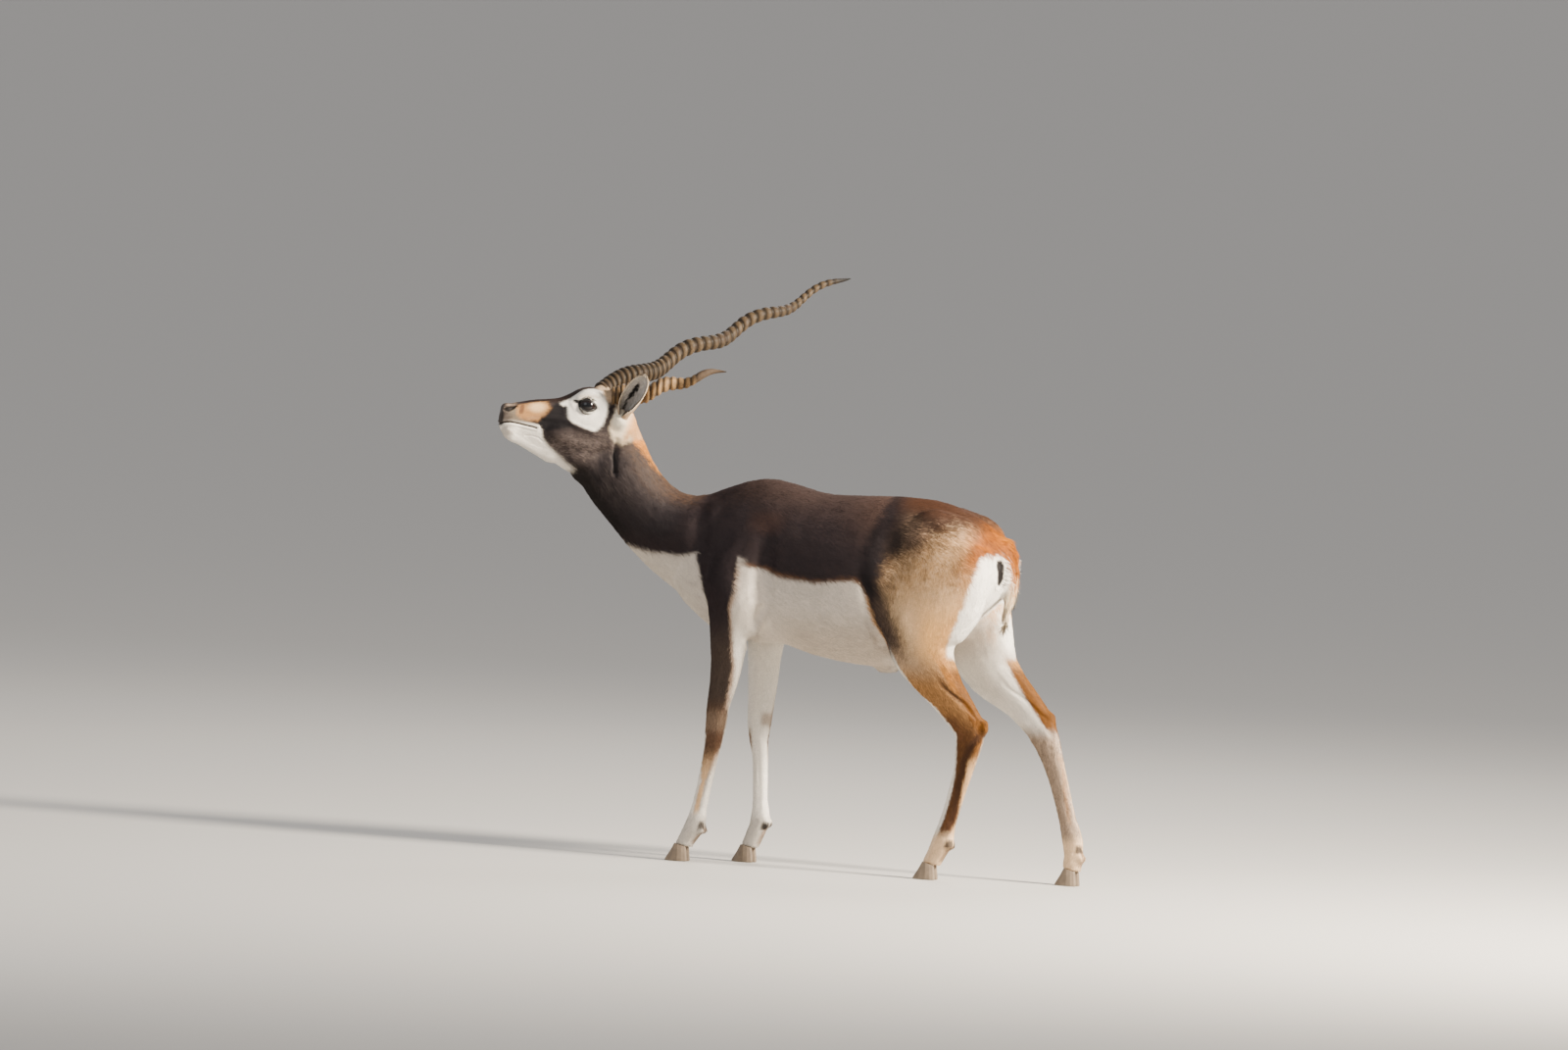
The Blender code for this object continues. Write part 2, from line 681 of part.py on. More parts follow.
def almond(name, side, collection):
    """The opening between the lids, pointed at its two corners."""
    along, look, up = eye_axes(side)
    centre = head_place(EYE_AHEAD, side * EYE_OUT, EYE_HEIGHT)
    half_length = EYE_OPENING_LENGTH / 2
    half_height = EYE_OPENING_HEIGHT / 2
    rim = []
    count = 10
    for index in range(count):
        t = -1 + 2 * index / count
        rim.append((t * half_length, half_height * (1 - t * t) ** 0.8))
    for index in range(count):
        t = 1 - 2 * index / count
        rim.append((t * half_length, -half_height * (1 - t * t) ** 0.8 * 0.9))
    rings = []
    for depth in (0.004, 0.034):
        rings.append([centre + along * x + up * y + look * depth for x, y in rim])
    return add_object(name, skin_rings(name, rings), collection)


def mouth_points(side):
    """The line between the lips, from the middle of the nose back to the corner."""
    rows = [
        (0.2290, 0.0000, 0.8140),
        (0.2260, 0.0090, 0.8135),
        (0.2180, 0.0160, 0.8130),
        (0.2050, 0.0193, 0.8145),
        (0.1900, 0.0203, 0.8120),
        (0.1740, 0.0213, 0.8085),
        (0.1590, 0.0232, 0.8045),
    ]
    return [head_place(ahead, side * out, height) for ahead, out, height in smooth_rows(rows, 2)]


def nostril_mesh(name, side):
    """A comma-shaped opening on the side of the nose."""
    rows = [
        (0.2245, 0.0120, 0.8345, 0.0016),
        (0.2205, 0.0150, 0.8390, 0.0027),
        (0.2140, 0.0170, 0.8435, 0.0024),
        (0.2040, 0.0185, 0.8460, 0.0012),
    ]
    rings = []
    for ahead, out, height, radius in smooth_rows(rows, 2):
        centre = head_place(ahead, side * out, height)
        rings.append(section(centre, HEAD_RIGHT, UP, radius * 2.2, radius, radius, 2, 2, 8))
    return skin_rings(name, rings)


def finish_head(head, collection):
    """Cut the eye sockets, lids, nostrils and the line of the mouth."""
    cutters = []
    for side in (-1, 1):
        centre = head_place(EYE_AHEAD, side * EYE_OUT, EYE_HEIGHT)
        socket = ball_mesh("socket", centre, [EYE_RADIUS + 2 * GAP] * 3, eye_axes(side), 20, 12)
        cutters.append(add_object("socket", socket, collection))
    cut(head, cutters)
    for side in (-1, 1):
        cut(head, [almond("almond", side, collection)])
    for side in (-1, 1):
        cut(head, [add_object("nostril", nostril_mesh("nostril", side), collection)])
    line = [point for point in reversed(mouth_points(-1))] + mouth_points(1)[1:]
    cut(head, [add_object("mouth", ring_tube("mouth", line, 0.0016), collection)])
    return tidy(head)


def make_eye(name, side, collection):
    """The eyeball, a little flattened where the lids hold it."""
    centre = head_place(EYE_AHEAD, side * EYE_OUT, EYE_HEIGHT)
    mesh = ball_mesh(name, centre, [EYE_RADIUS] * 3, eye_axes(side), 16, 10)
    return add_object(name, mesh, collection)


def ear_mesh(name, side, lean):
    """A curled leaf, rolled at its root and open towards the side."""
    root = head_place(-0.002, side * 0.0405, 0.836)
    tip = head_place(-0.030 - lean, side * (0.100 - lean * 0.4), 0.917 - lean)
    run = (tip - root)
    length = run.length
    run = run / length
    opening = (HEAD_RIGHT * side * 0.75 + FACING * 0.62 + UP * -0.12)
    opening = (opening - run * opening.dot(run)).normalized()
    across = run.cross(opening).normalized()
    forward = across if across.dot(FACING) > 0 else -across
    rows = [
        (0.00, 0.0090, 165, 0.000),
        (0.10, 0.0120, 150, 0.002),
        (0.25, 0.0170, 120, 0.004),
        (0.43, 0.0208, 100, 0.005),
        (0.62, 0.0210, 86, 0.004),
        (0.79, 0.0175, 76, 0.002),
        (0.91, 0.0115, 66, 0.000),
        (1.00, 0.0035, 60, 0.000),
    ]
    count = 10
    bm = bmesh.new()
    loops = []
    for t, radius, spread, shift in smooth_rows(rows, 1):
        centre = root + run * (t * length) + forward * shift
        loop = []
        for index in range(count):
            angle = math.radians(spread) * (2 * index / (count - 1) - 1)
            offset = across * math.sin(angle) * radius - opening * math.cos(angle) * radius * 0.8
            loop.append(bm.verts.new(centre + offset))
        loops.append(loop)
    for low, high in zip(loops, loops[1:]):
        for index in range(count - 1):
            bm.faces.new((low[index], low[index + 1], high[index + 1], high[index]))
    mesh = bpy.data.meshes.new(name)
    bm.to_mesh(mesh)
    bm.free()
    return mesh


def make_ear(name, side, lean, head, collection, tools):
    """A thin shell with its root cut to the head."""
    ear = add_object(name, ear_mesh(name, side, lean), collection)
    shell = ear.modifiers.new("Wall", "SOLIDIFY")
    shell.thickness = 0.0024
    shell.offset = 0.0
    bake(ear)
    cut(ear, [inflate(head, 0.0004, "grown_head", tools)])
    return tidy(ear)


def bezier(path, t):
    """A place along a smooth line drawn by four points."""
    first, second, third, last = path
    return first * (1 - t) ** 3 + second * 3 * t * (1 - t) ** 2 + third * 3 * t * t * (1 - t) + last * t ** 3


def horn_rows(path, radii, rings_until, ring_gaps, turns, phase, swing, hand, sides):
    """Rings of a twisted, ribbed horn that winds around a smooth line."""
    length = (path[-1] - path[0]).length
    run = (path[-1] - path[0]) / length
    lift = (UP - run * UP.dot(run)).normalized()
    wide = run.cross(lift).normalized()
    ribs = []
    place = 0.004
    while place < rings_until * length:
        step = float(np.interp(place / length, *ring_gaps))
        ribs.append((place, 1))
        ribs.append((place + step * 0.62, -1))
        place += step
    smooth_from = place
    spots = [(0.0, -1)] + ribs
    for index in range(1, 8):
        spots.append((smooth_from + (length - smooth_from) * (index / 7) ** 0.85, 0))
    loops = []
    for distance, rib in spots:
        t = min(distance / length, 1.0)
        angle = 2 * math.pi * (t * turns) + phase
        turned = lift * math.cos(angle) + wide * math.sin(angle) * hand
        centre = bezier(path, t) + turned * swing * min(1.0, 0.70 + t * 2)
        radius = float(np.interp(t, [row[0] for row in radii], [row[1] for row in radii]))
        if rib:
            radius += rib * min(0.0011, radius * 0.09)
        loops.append([centre + lift * math.cos(2 * math.pi * k / sides) * radius
                      + wide * math.sin(2 * math.pi * k / sides) * radius for k in range(sides)])
    return loops


def make_horn(name, loops, head, collection, tools):
    """A horn whose foot is cut to the head."""
    horn = add_object(name, skin_rings(name, loops), collection)
    cut(horn, [inflate(head, 0.0004, "grown_head", tools)])
    return tidy(horn)


def make_horns(head, collection, tools):
    """One long horn on the right and one that stayed short on the left."""
    long_path = (head_place(0.033, 0.0185, 0.8785), head_place(-0.1333, 0.0862, 0.9550),
                 head_place(-0.3033, 0.1573, 1.0269), head_place(-0.471, 0.228, 1.109))
    long_radii = [(0, 0.0184), (0.2, 0.0165), (0.3, 0.0155), (0.42, 0.0130), (0.54, 0.0132), (0.65, 0.0113),
                  (0.76, 0.0090), (0.86, 0.0070), (0.93, 0.0055), (0.97, 0.0036), (1.0, 0.0012)]
    long_gaps = ((0.0, 0.2, 0.36, 0.6, 1.0), (0.0103, 0.0120, 0.0165, 0.0165, 0.0140))
    loops = horn_rows(long_path, long_radii, 0.87, long_gaps, 3.72, -2.26, 0.0070, 1, 12)
    long_horn = make_horn("horn_right", loops, head, collection, tools)
    short_path = (head_place(0.018, -0.0185, 0.874), head_place(-0.0407, -0.0288, 0.8732),
                  head_place(-0.110, -0.0493, 0.9112), head_place(-0.190, -0.080, 0.9336))
    short_radii = [(0, 0.0176), (0.35, 0.0162), (0.5, 0.0142), (0.62, 0.0108), (0.72, 0.0091), (0.84, 0.0073),
                   (0.92, 0.0044), (1.0, 0.0012)]
    short_gaps = ((0.0, 0.4, 0.7, 1.0), (0.0115, 0.0135, 0.0125, 0.0100))
    loops = horn_rows(short_path, short_radii, 0.76, short_gaps, 2.78, -2.74, 0.0044, -1, 12)
    short_horn = make_horn("horn_left", loops, head, collection, tools)
    return long_horn, short_horn


def make_claw(name, foot, side, collection, tools):
    """One half of a cloven hoof: flat below, upright at the heel, sloping ahead."""
    x, y, turn = FEET[foot]
    yaw = math.radians(turn) + math.radians(2.5) * side
    ahead = Vector((-math.cos(yaw), -math.sin(yaw), 0))
    right = Vector((-math.sin(yaw), math.cos(yaw), 0))
    rows = [
        (0.0000, 0.0275, 0.0170, 1.00),
        (0.0030, 0.0270, 0.0175, 1.04),
        (0.0200, 0.0165, 0.0155, 1.00),
        (0.0420, 0.0050, 0.0120, 0.92),
    ]
    rings = []
    for height, front, rear, wide in rows:
        half = CLAW_HALF_WIDTH * wide
        middle = Vector((x, y, height)) + right * side * (CLAW_HALF_WIDTH + 0.0006)
        ring = []
        for index in range(12):
            angle = 2 * math.pi * index / 12
            cosine, sine = math.cos(angle), math.sin(angle)
            reach = front if cosine > 0 else rear
            narrow = 1 - 0.30 * max(cosine, 0) ** 2
            sideways = sine * half * narrow
            sideways = max(sideways, -half * 0.9) if side > 0 else min(sideways, half * 0.9)
            ring.append(middle + ahead * cosine * reach + right * sideways)
        rings.append(ring)
    claw = add_object(name, skin_rings(name, rings), collection)
    normal = coronet_normal(turn)
    cut(claw, [half_space("above", (x + 0.002, y, CORONET_HEIGHT - GAP), normal, 0.12, tools)])
    return tidy(claw)


def tail_rows():
    """The hanging tail: x, z, half width, half depth."""
    return [
        (0.226, 0.652, 0.016, 0.016),
        (0.246, 0.644, 0.021, 0.016),
        (0.262, 0.622, 0.023, 0.015),
        (0.268, 0.595, 0.023, 0.014),
        (0.269, 0.568, 0.021, 0.013),
        (0.266, 0.542, 0.017, 0.011),
        (0.262, 0.520, 0.012, 0.008),
        (0.258, 0.504, 0.007, 0.005),
    ]


def lock_mesh(name, root, tip, width, thick):
    """A flat lock of hair that tapers to a point."""
    run = tip - root
    rings = []
    for t, scale in ((0.0, 0.8), (0.3, 1.0), (0.65, 0.75), (0.97, 0.16)):
        bend = Vector((0.004 * math.sin(t * math.pi), 0, 0))
        rings.append(section(root + run * t + bend, (0, 1, 0), (1, 0, 0), width * scale, thick * scale, thick * scale,
                             2, 2, 6))
    return skin_rings(name, rings)


def make_tail(torso, collection, tools):
    """The tail, with its long hair as tapered locks along the edges and tip."""
    rings = []
    rows = smooth_rows(tail_rows(), 1)
    for index, (x, z, half, depth) in enumerate(rows):
        before = rows[max(index - 1, 0)]
        after = rows[min(index + 1, len(rows) - 1)]
        run = Vector((after[0] - before[0], 0, after[1] - before[1])).normalized()
        out = Vector((0, 1, 0)).cross(run).normalized()
        rings.append(section((x, 0, z), (0, 1, 0), out, half, depth, depth, 2.2, 2.2, 16))
    tail = add_object("tail", skin_rings("tail", rings), collection)
    locks = []
    rng = random.Random(5)
    for index in range(9):
        along = index / 8
        side = -1 if index % 2 else 1
        z = 0.596 - 0.076 * along
        y = side * (0.0150 * (1 - along) ** 0.6)
        root = Vector((0.265 + rng.uniform(-0.003, 0.003), y, z))
        tip = root + Vector((-0.009 + rng.uniform(-0.004, 0.003), side * 0.001 - y * 0.6, -0.044 - rng.uniform(0, 0.010)))
        tip.z = max(tip.z, 0.474)
        name = "lock_%d" % index
        locks.append(add_object(name, lock_mesh(name, root, tip, 0.0075, 0.0048), tools))
    cut(tail, locks, "UNION")
    keep_largest(tail)
    cut(tail, [inflate(torso, 0.0004, "grown_torso", tools)])
    return tidy(tail)


def shade(obj, material):
    """Give an object its material and smooth shading."""
    obj.data.materials.clear()
    obj.data.materials.append(material)
    obj.data.shade_smooth()
    obj.data.set_sharp_from_angle(angle=math.radians(40))


def centre_objects(objects):
    """Move the whole animal so that its box is centred on the origin."""
    low = Vector((1e9, 1e9, 1e9))
    high = -low
    for obj in objects:
        for vertex in obj.data.vertices:
            for axis in range(3):
                low[axis] = min(low[axis], vertex.co[axis])
                high[axis] = max(high[axis], vertex.co[axis])
    shift = Vector((-(low.x + high.x) / 2, -(low.y + high.y) / 2, -low.z))
    for obj in objects:
        obj.data.transform(Matrix.Translation(shift))
    return shift, high - low


def main():
    """Model the flesh whole, part it, then add eyes, ears, horns, tail and hooves."""
    clear_scene()
    scene = bpy.context.scene
    model = bpy.data.collections.new("blackbuck")
    tools = bpy.data.collections.new("cutters")
    scene.collection.children.link(model)
    scene.collection.children.link(tools)
    coat = make_material("coat", (0.07, 0.05, 0.04), 0.75)
    horn = make_material("horn", (0.20, 0.15, 0.10), 0.5)
    hoof = make_material("hoof", (0.05, 0.04, 0.035), 0.5)
    eye = make_material("eye", (0.02, 0.012, 0.008), 0.08)

    forms = [torso_mesh(), neck_mesh(), head_mesh()]
    forms.append(limb_mesh("hind_left_form", HIND_LEFT))
    forms.append(limb_mesh("hind_right_form", HIND_RIGHT))
    forms.append(limb_mesh("fore_left_form", FORE_LEFT))
    forms.append(limb_mesh("fore_right_form", FORE_RIGHT))
    forms += head_balls() + body_balls()
    flesh = join_meshes("flesh", forms, tools)
    voxel_union(flesh, BODY_VOXEL)
    smooth_object(flesh, 0.5, 6)
    smooth_object(flesh, 0.6, 34, trunk_weight)
    sculpt(flesh, body_strokes())

    head = copy_object(flesh, "head", model)
    thin_out(head, HEAD_SOURCE_TRIANGLES)
    cut(head, [half_space("head_space", HEAD_CUT_CENTRE, HEAD_CUT_NORMAL, 0.50, tools)], "INTERSECT")
    keep_largest(head)
    finish_head(head, tools)

    thin_out(flesh, BODY_TRIANGLES)
    cut(flesh, part_cuts(tools))
    pieces = split_by_seed(flesh, model)
    bpy.data.objects.remove(flesh, do_unlink=True)
    for piece in pieces.values():
        tidy(piece)

    nodes = [head] + list(pieces.values())
    eyes = [make_eye("eye_left", -1, model), make_eye("eye_right", 1, model)]
    ears = [make_ear("ear_left", -1, 0.0, head, model, tools), make_ear("ear_right", 1, 0.012, head, model, tools)]
    horns = list(make_horns(head, model, tools))
    for ear, near_horn in ((ears[0], horns[1]), (ears[1], horns[0])):
        cut(ear, [inflate(near_horn, 0.0006, "grown_horn", tools)])
        tidy(ear)
    tail = make_tail(pieces["torso"], model, tools)
    claws = []
    for foot in FEET:
        outer = -1 if foot.endswith("left") else 1
        claws.append(make_claw("hoof_%s_outer" % foot, foot, outer, model, tools))
        claws.append(make_claw("hoof_%s_inner" % foot, foot, -outer, model, tools))
    for obj in nodes + ears + [tail]:
        shade(obj, coat)
    for obj in horns:
        shade(obj, horn)
    for obj in claws:
        shade(obj, hoof)
    for obj in eyes:
        shade(obj, eye)
    centre_objects(nodes + ears + [tail] + horns + claws + eyes)
    bpy.data.collections.remove(tools)


main()
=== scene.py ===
"""A standing male blackbuck: skin, short coat, horns, eyes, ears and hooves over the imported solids."""
import math

import bmesh
import bpy
import numpy as np
from mathutils import Matrix, Vector


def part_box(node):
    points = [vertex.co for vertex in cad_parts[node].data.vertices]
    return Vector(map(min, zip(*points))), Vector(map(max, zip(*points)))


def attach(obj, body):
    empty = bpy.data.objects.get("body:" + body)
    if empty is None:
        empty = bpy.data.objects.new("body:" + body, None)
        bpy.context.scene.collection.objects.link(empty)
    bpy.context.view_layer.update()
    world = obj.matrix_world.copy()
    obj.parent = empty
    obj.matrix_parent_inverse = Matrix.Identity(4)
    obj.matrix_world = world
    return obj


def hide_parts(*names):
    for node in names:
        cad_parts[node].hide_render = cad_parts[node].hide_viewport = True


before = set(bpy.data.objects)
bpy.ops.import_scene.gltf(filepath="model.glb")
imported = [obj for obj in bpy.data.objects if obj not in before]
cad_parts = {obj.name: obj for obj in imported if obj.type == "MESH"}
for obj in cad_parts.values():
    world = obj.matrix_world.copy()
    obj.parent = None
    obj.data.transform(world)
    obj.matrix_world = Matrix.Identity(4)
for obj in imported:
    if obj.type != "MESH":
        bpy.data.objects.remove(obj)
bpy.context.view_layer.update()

SKIN_VOXEL = 0.0033
TUFTS_A_PIECE = 48000
EAR_TUFTS = 9000
HORN_LOOPS = 620
RIM_LOOPS = 64
SENSOR_WIDTH = 36
LEFT, RIGHT = -1, 1
SIDES = ((LEFT, "left"), (RIGHT, "right"))
LEGS = ("fore_left", "fore_right", "hind_left", "hind_right")

# The head's own frame, as in the solids: along the face, to the animal's right, and up.
HEAD_YAW = math.radians(30)
HEAD_POINT = np.array([-0.5254, -0.045, 0.0])
FACING = np.array([-math.cos(HEAD_YAW), -math.sin(HEAD_YAW), 0.0])
HEAD_RIGHT = np.array([-math.sin(HEAD_YAW), math.cos(HEAD_YAW), 0.0])
UP = np.array([0.0, 0.0, 1.0])
EYE_RADIUS = 0.0164
EYE_AHEAD, EYE_OUT, EYE_HEIGHT = 0.0648, 0.0312, 0.8532

# The view: degrees round the animal, above the ground and of lean, then the width seen and the distance.
VIEW_AZIMUTH, VIEW_HEIGHT, VIEW_LEAN = 20.0, 3.0, 3.0
VIEW_WIDTH, VIEW_DISTANCE = 2.976, 70.0
VIEW_RIGHT, VIEW_UP = -0.1488, 0.6589

# Coat colours, as linear light.
DARK = (0.027, 0.019, 0.02)
BROWN = (0.036, 0.023, 0.02)
RUST = (0.135, 0.066, 0.032)
# The white of belly, chest and groin is darkened by painted shade, as white coat in the shade under the
# body.
SHADED_WHITE = (0.62, 0.55, 0.475)
FLESH = ["head", "neck", "torso", "tail"] + [
    "%sleg_%s_%s" % (end, side, part) for end in ("fore", "hind") for side in ("left", "right")
    for part in ("upper", "lower")]

# Size of one picture element on the animal, and the place in the picture of the animal's own origin.
PICTURE_STEP = 0.00186
PICTURE_ORIGIN = (880.0, 889.77)
LIP_EDGE = [(523, 412), (528.5, 418), (529, 423.5), (534, 427.5), (545.8, 431.7), (549.9, 433.8),
            (552.5, 438.3), (553, 442.9), (554.5, 449.1), (559.3, 455.4), (567.3, 463.5), (575.0, 470.3),
            (584, 477.5), (578, 488), (500, 500), (500, 412)]
BLACK_BAND = [(569, 408.5), (562, 415.5), (553.5, 425), (547, 430), (551, 435), (554, 441), (566, 438),
              (582, 436), (590, 437), (582, 430), (577, 421), (576.5, 414.5), (571, 412.5)]
DARK_STRIP = [(619.5, 411.8), (626.2, 411.6), (625.4, 419.7), (621.9, 429.9), (619.1, 436), (614.6, 434.5),
              (615.6, 429.9), (618.4, 422.8)]
CREAM_PATCH = [(629.5, 404), (627.5, 420), (623.5, 431), (621, 437), (623.5, 446), (627.3, 451),
               (633.5, 452.5), (641, 450.5), (650, 448), (664, 444), (664, 404)]
NOSTRIL = [(513.2, 417.4), (515.8, 415.4), (520.5, 414.4), (526.6, 414.2), (523.4, 417.4), (518.4, 419.8),
           (514.6, 419.0)]
FLANK_LINE = [(-0.3, 0.56), (-0.247, 0.574), (-0.207, 0.568), (-0.166, 0.555), (-0.126, 0.551),
              (-0.087, 0.55), (-0.047, 0.554), (-0.008, 0.558), (0.009, 0.548), (0.02, 0.53), (0.034, 0.48),
              (0.06, 0.436)]
EYE_RING = [(569.1, 408), (575.7, 404.9), (580.8, 404.2), (584.4, 401.5), (589.5, 397), (595.6, 394),
            (602.3, 393), (607.9, 395), (613, 399.5), (617.1, 405.4), (619.1, 411.6), (618.6, 418.5),
            (617.1, 425.3), (614.4, 431.9), (610.9, 437.2), (605.8, 439.6), (598.7, 437.6), (589.5, 434),
            (583.4, 431.0), (579.8, 427.0), (578.0, 421.8), (578.3, 414.6), (574.2, 414.1), (570.6, 411.6)]
TAN_MUZZLE = [(530.5, 411.3), (549.9, 409.6), (557.6, 410.8), (561.1, 416.4), (557.6, 420), (552.5, 424.6),
              (547.9, 429), (539.7, 429.6), (530.5, 426), (526.5, 422.5), (527.5, 416)]
MOUTH_LINE = [(506, 432.6), (512.2, 431.2), (515.5, 430.6), (520.3, 430.2), (528.5, 431.7), (536.7, 433.8),
              (543.8, 435.5), (547.0, 436.3)]

# Lines on the face with the height of their ridge or groove, and how far and how near it reaches.
GLAND_SLIT = ([(575.8, 414.5), (577.2, 419), (578.0, 424)], -0.0022, 0.0026, 0.0004)
LIP_FOLD = ([(536, 444), (543, 444.6), (549, 446.5), (553, 450)], -0.0007, 0.003, 0.0004)
JAW_EDGE = ([(562, 444), (585, 452), (605, 458), (619, 452)], 0.0016, 0.016, 0.0)
CHEEK_BONE = ([(556, 426), (572, 427), (590, 436), (606, 441)], 0.0012, 0.009, 0.0)

# The underside of the jaw, the crease behind it, the folds of elbow and flank, and the tear line of the eye.
JAW_LINE = [(520, 445), (535, 455), (555, 466)]
ELBOW_FOLD = [(775.6, 620.7), (770, 634), (763.7, 653.2)]
FLANK_FOLD = [(879, 592), (884, 620), (897, 655)]
TEAR_LINE = [(586.0, 409.0), (590.5, 410.0)]
CREASE = [(628.4, 449.5), (625.6, 463.7), (626.6, 481)]
LID_HALF_LENGTH, LID_HALF_HEIGHT = 0.0174, 0.0099

# Length and width of a tuft, tufts to the square metre, by part of the body.
HAIR = {"head": (0.0052, 0.0008, 7.2e5), "neck": (0.0125, 0.0012, 3.0e5), "trunk": (0.0105, 0.00125, 2.3e5),
        "fore_left": (0.0068, 0.0009, 4.0e5), "fore_right": (0.0068, 0.0009, 4.0e5),
        "hind_left": (0.007, 0.0009, 3.8e5), "hind_right": (0.007, 0.0009, 3.8e5),
        "tail": (0.017, 0.0011, 5.0e5)}
SEAT = [(1000.7, 568.1), (1006, 564.8), (1014.5, 564.2), (1021.7, 567), (1026, 573), (1029, 585),
        (1031, 640), (1070, 642), (1070, 700), (966, 670), (964.9, 659.3), (969.8, 646.6), (976.8, 629.8),
        (983.8, 615.8), (986.6, 603.1), (992.2, 587.7), (996.4, 576.5)]
TAIL_GAP = [(1016.5, 571.5), (1021.5, 571), (1024.5, 577), (1024.2, 583), (1023.6, 591), (1019.5, 598),
            (1016.8, 598), (1017.2, 584), (1015.8, 578)]

# Height and distance behind a leg's middle line of the edges of its markings and of the hind legs' grooves,
# which carry painted shade.
FORE_REAR = [(0.096, 0.005), (0.157, 0.004), (0.198, 0.01), (0.23, 0.02), (0.25, 0.026), (0.28, 0.024),
             (0.3, 0.019), (0.348, 0.021), (0.378, 0.019), (0.409, 0.015), (0.439, 0.01), (0.475, 0.006),
             (0.503, 0.005), (0.573, 0.01)]
FORE_FRONT = [(0.096, -0.004), (0.126, -0.006), (0.156, -0.004), (0.176, -0.01), (0.217, -0.013),
              (0.248, -0.012), (0.262, -0.04)]
HIND_LINE = [(0.087, 0.008), (0.13, 0.011), (0.181, 0.004), (0.231, 0.003), (0.26, 0.012), (0.311, 0.04),
             (0.342, 0.031), (0.369, 0.012)]
HIND_FRONT = [(0.08, -0.01), (0.119, -0.006), (0.175, -0.007), (0.23, -0.014), (0.258, -0.018),
              (0.29, -0.024), (0.33, -0.033), (0.365, -0.06)]
INNER_LINE = [(0.129, 0.008), (0.178, 0.013), (0.227, 0.021)]


def head_place(ahead, right, height):
    """A point given along the face, to the animal's right and above the ground."""
    return HEAD_POINT + FACING * ahead + HEAD_RIGHT * right + UP * height


def find_shift():
    """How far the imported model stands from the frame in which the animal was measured."""
    low, high = np.array(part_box("hoof_fore_left_inner")), np.array(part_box("hoof_fore_left_outer"))
    corners = np.vstack([low, high])
    middle = (corners.min(axis=0) + corners.max(axis=0)) / 2
    return np.array([middle[0] + 0.3555, middle[1] + 0.055, 0.0])


SHIFT = find_shift()

# Lines through the body's parts: x, y, z and rough radius of each point, from the front or the top.
AXES = {
    "head": [(*head_place(0.235, 0, 0.82), 0.02), (*head_place(0.15, 0, 0.812), 0.04),
             (*head_place(0.06, 0, 0.812), 0.072), (*head_place(-0.01, 0, 0.805), 0.062)],
    "neck": [(-0.556, -0.042, 0.775, 0.07), (-0.505, -0.02, 0.7, 0.08), (-0.43, 0, 0.63, 0.1)],
    "trunk": [(-0.37, 0, 0.59, 0.11), (-0.24, 0, 0.58, 0.15), (0, 0, 0.556, 0.165), (0.15, 0, 0.59, 0.13),
              (0.25, 0, 0.61, 0.07)],
    "fore_left": [(-0.258, -0.082, 0.49, 0.05), (-0.269, -0.073, 0.385, 0.03),
                  (-0.286, -0.063, 0.299, 0.022), (-0.294, -0.058, 0.228, 0.018),
                  (-0.309, -0.055, 0.143, 0.015), (-0.323, -0.055, 0.07, 0.019),
                  (-0.35, -0.055, 0.015, 0.018)],
    "fore_right": [(-0.248, 0.082, 0.49, 0.05), (-0.247, 0.073, 0.39, 0.031), (-0.246, 0.065, 0.306, 0.025),
                   (-0.244, 0.058, 0.232, 0.018), (-0.236, 0.055, 0.154, 0.015),
                   (-0.232, 0.055, 0.084, 0.018), (-0.256, 0.055, 0.015, 0.018)],
    "hind_left": [(0.135, -0.098, 0.52, 0.095), (0.131, -0.095, 0.44, 0.06), (0.182, -0.085, 0.354, 0.034),
                  (0.228, -0.075, 0.282, 0.026), (0.216, -0.066, 0.21, 0.018), (0.194, -0.06, 0.132, 0.015),
                  (0.18, -0.06, 0.076, 0.019), (0.154, -0.06, 0.015, 0.018)],
    "hind_right": [(0.168, 0.095, 0.53, 0.09), (0.188, 0.092, 0.43, 0.058), (0.246, 0.082, 0.362, 0.038),
                   (0.328, 0.07, 0.276, 0.024), (0.359, 0.063, 0.204, 0.018), (0.385, 0.06, 0.124, 0.015),
                   (0.399, 0.06, 0.08, 0.019), (0.396, 0.06, 0.015, 0.018)],
    "tail": [(0.246, 0, 0.648, 0.02), (0.27, 0, 0.592, 0.02), (0.27, 0, 0.53, 0.018),
             (0.262, 0, 0.46, 0.01)],
}
PARTS = list(AXES)
HEAD, NECK, TRUNK, TAIL = (PARTS.index(name) for name in ("head", "neck", "trunk", "tail"))


def ramp(value, low, high):
    """A soft step from 0 at low to 1 at high."""
    t = np.clip((value - low) / (high - low), 0, 1)
    return t * t * (3 - 2 * t)


def near(value, middle, wide, close):
    """One within the close distance of a middle value, and nothing beyond the wide distance."""
    return ramp(np.abs(value - middle), wide, close)


def patch(x, y, middle, radii, wide, close):
    """A round place with a soft edge: one within close times its radii, nothing beyond wide times them."""
    return ramp(np.hypot((x - middle[0]) / radii[0], (y - middle[1]) / radii[1]), wide, close)


def noise(points, scale, seed=0):
    """Smooth random values from 0 to 1 that depend on place alone."""
    spot = points * scale + seed * 17.37
    cell = np.floor(spot).astype(np.int64)
    part = spot - cell
    part = part * part * (3 - 2 * part)
    total = np.zeros(len(points))
    for corner in range(8):
        step = np.array([corner & 1, corner >> 1 & 1, corner >> 2 & 1])
        at = cell + step
        mixed = at[:, 0] * 374761393 + at[:, 1] * 668265263 + at[:, 2] * 1442695041 + seed * 97
        mixed = (mixed ^ (mixed >> 13)) * 1274126177
        mixed = (mixed ^ (mixed >> 16)) & 0xFFFF
        weight = np.prod(np.where(step, part, 1 - part), axis=1)
        total += weight * mixed / 65535.0
    return total


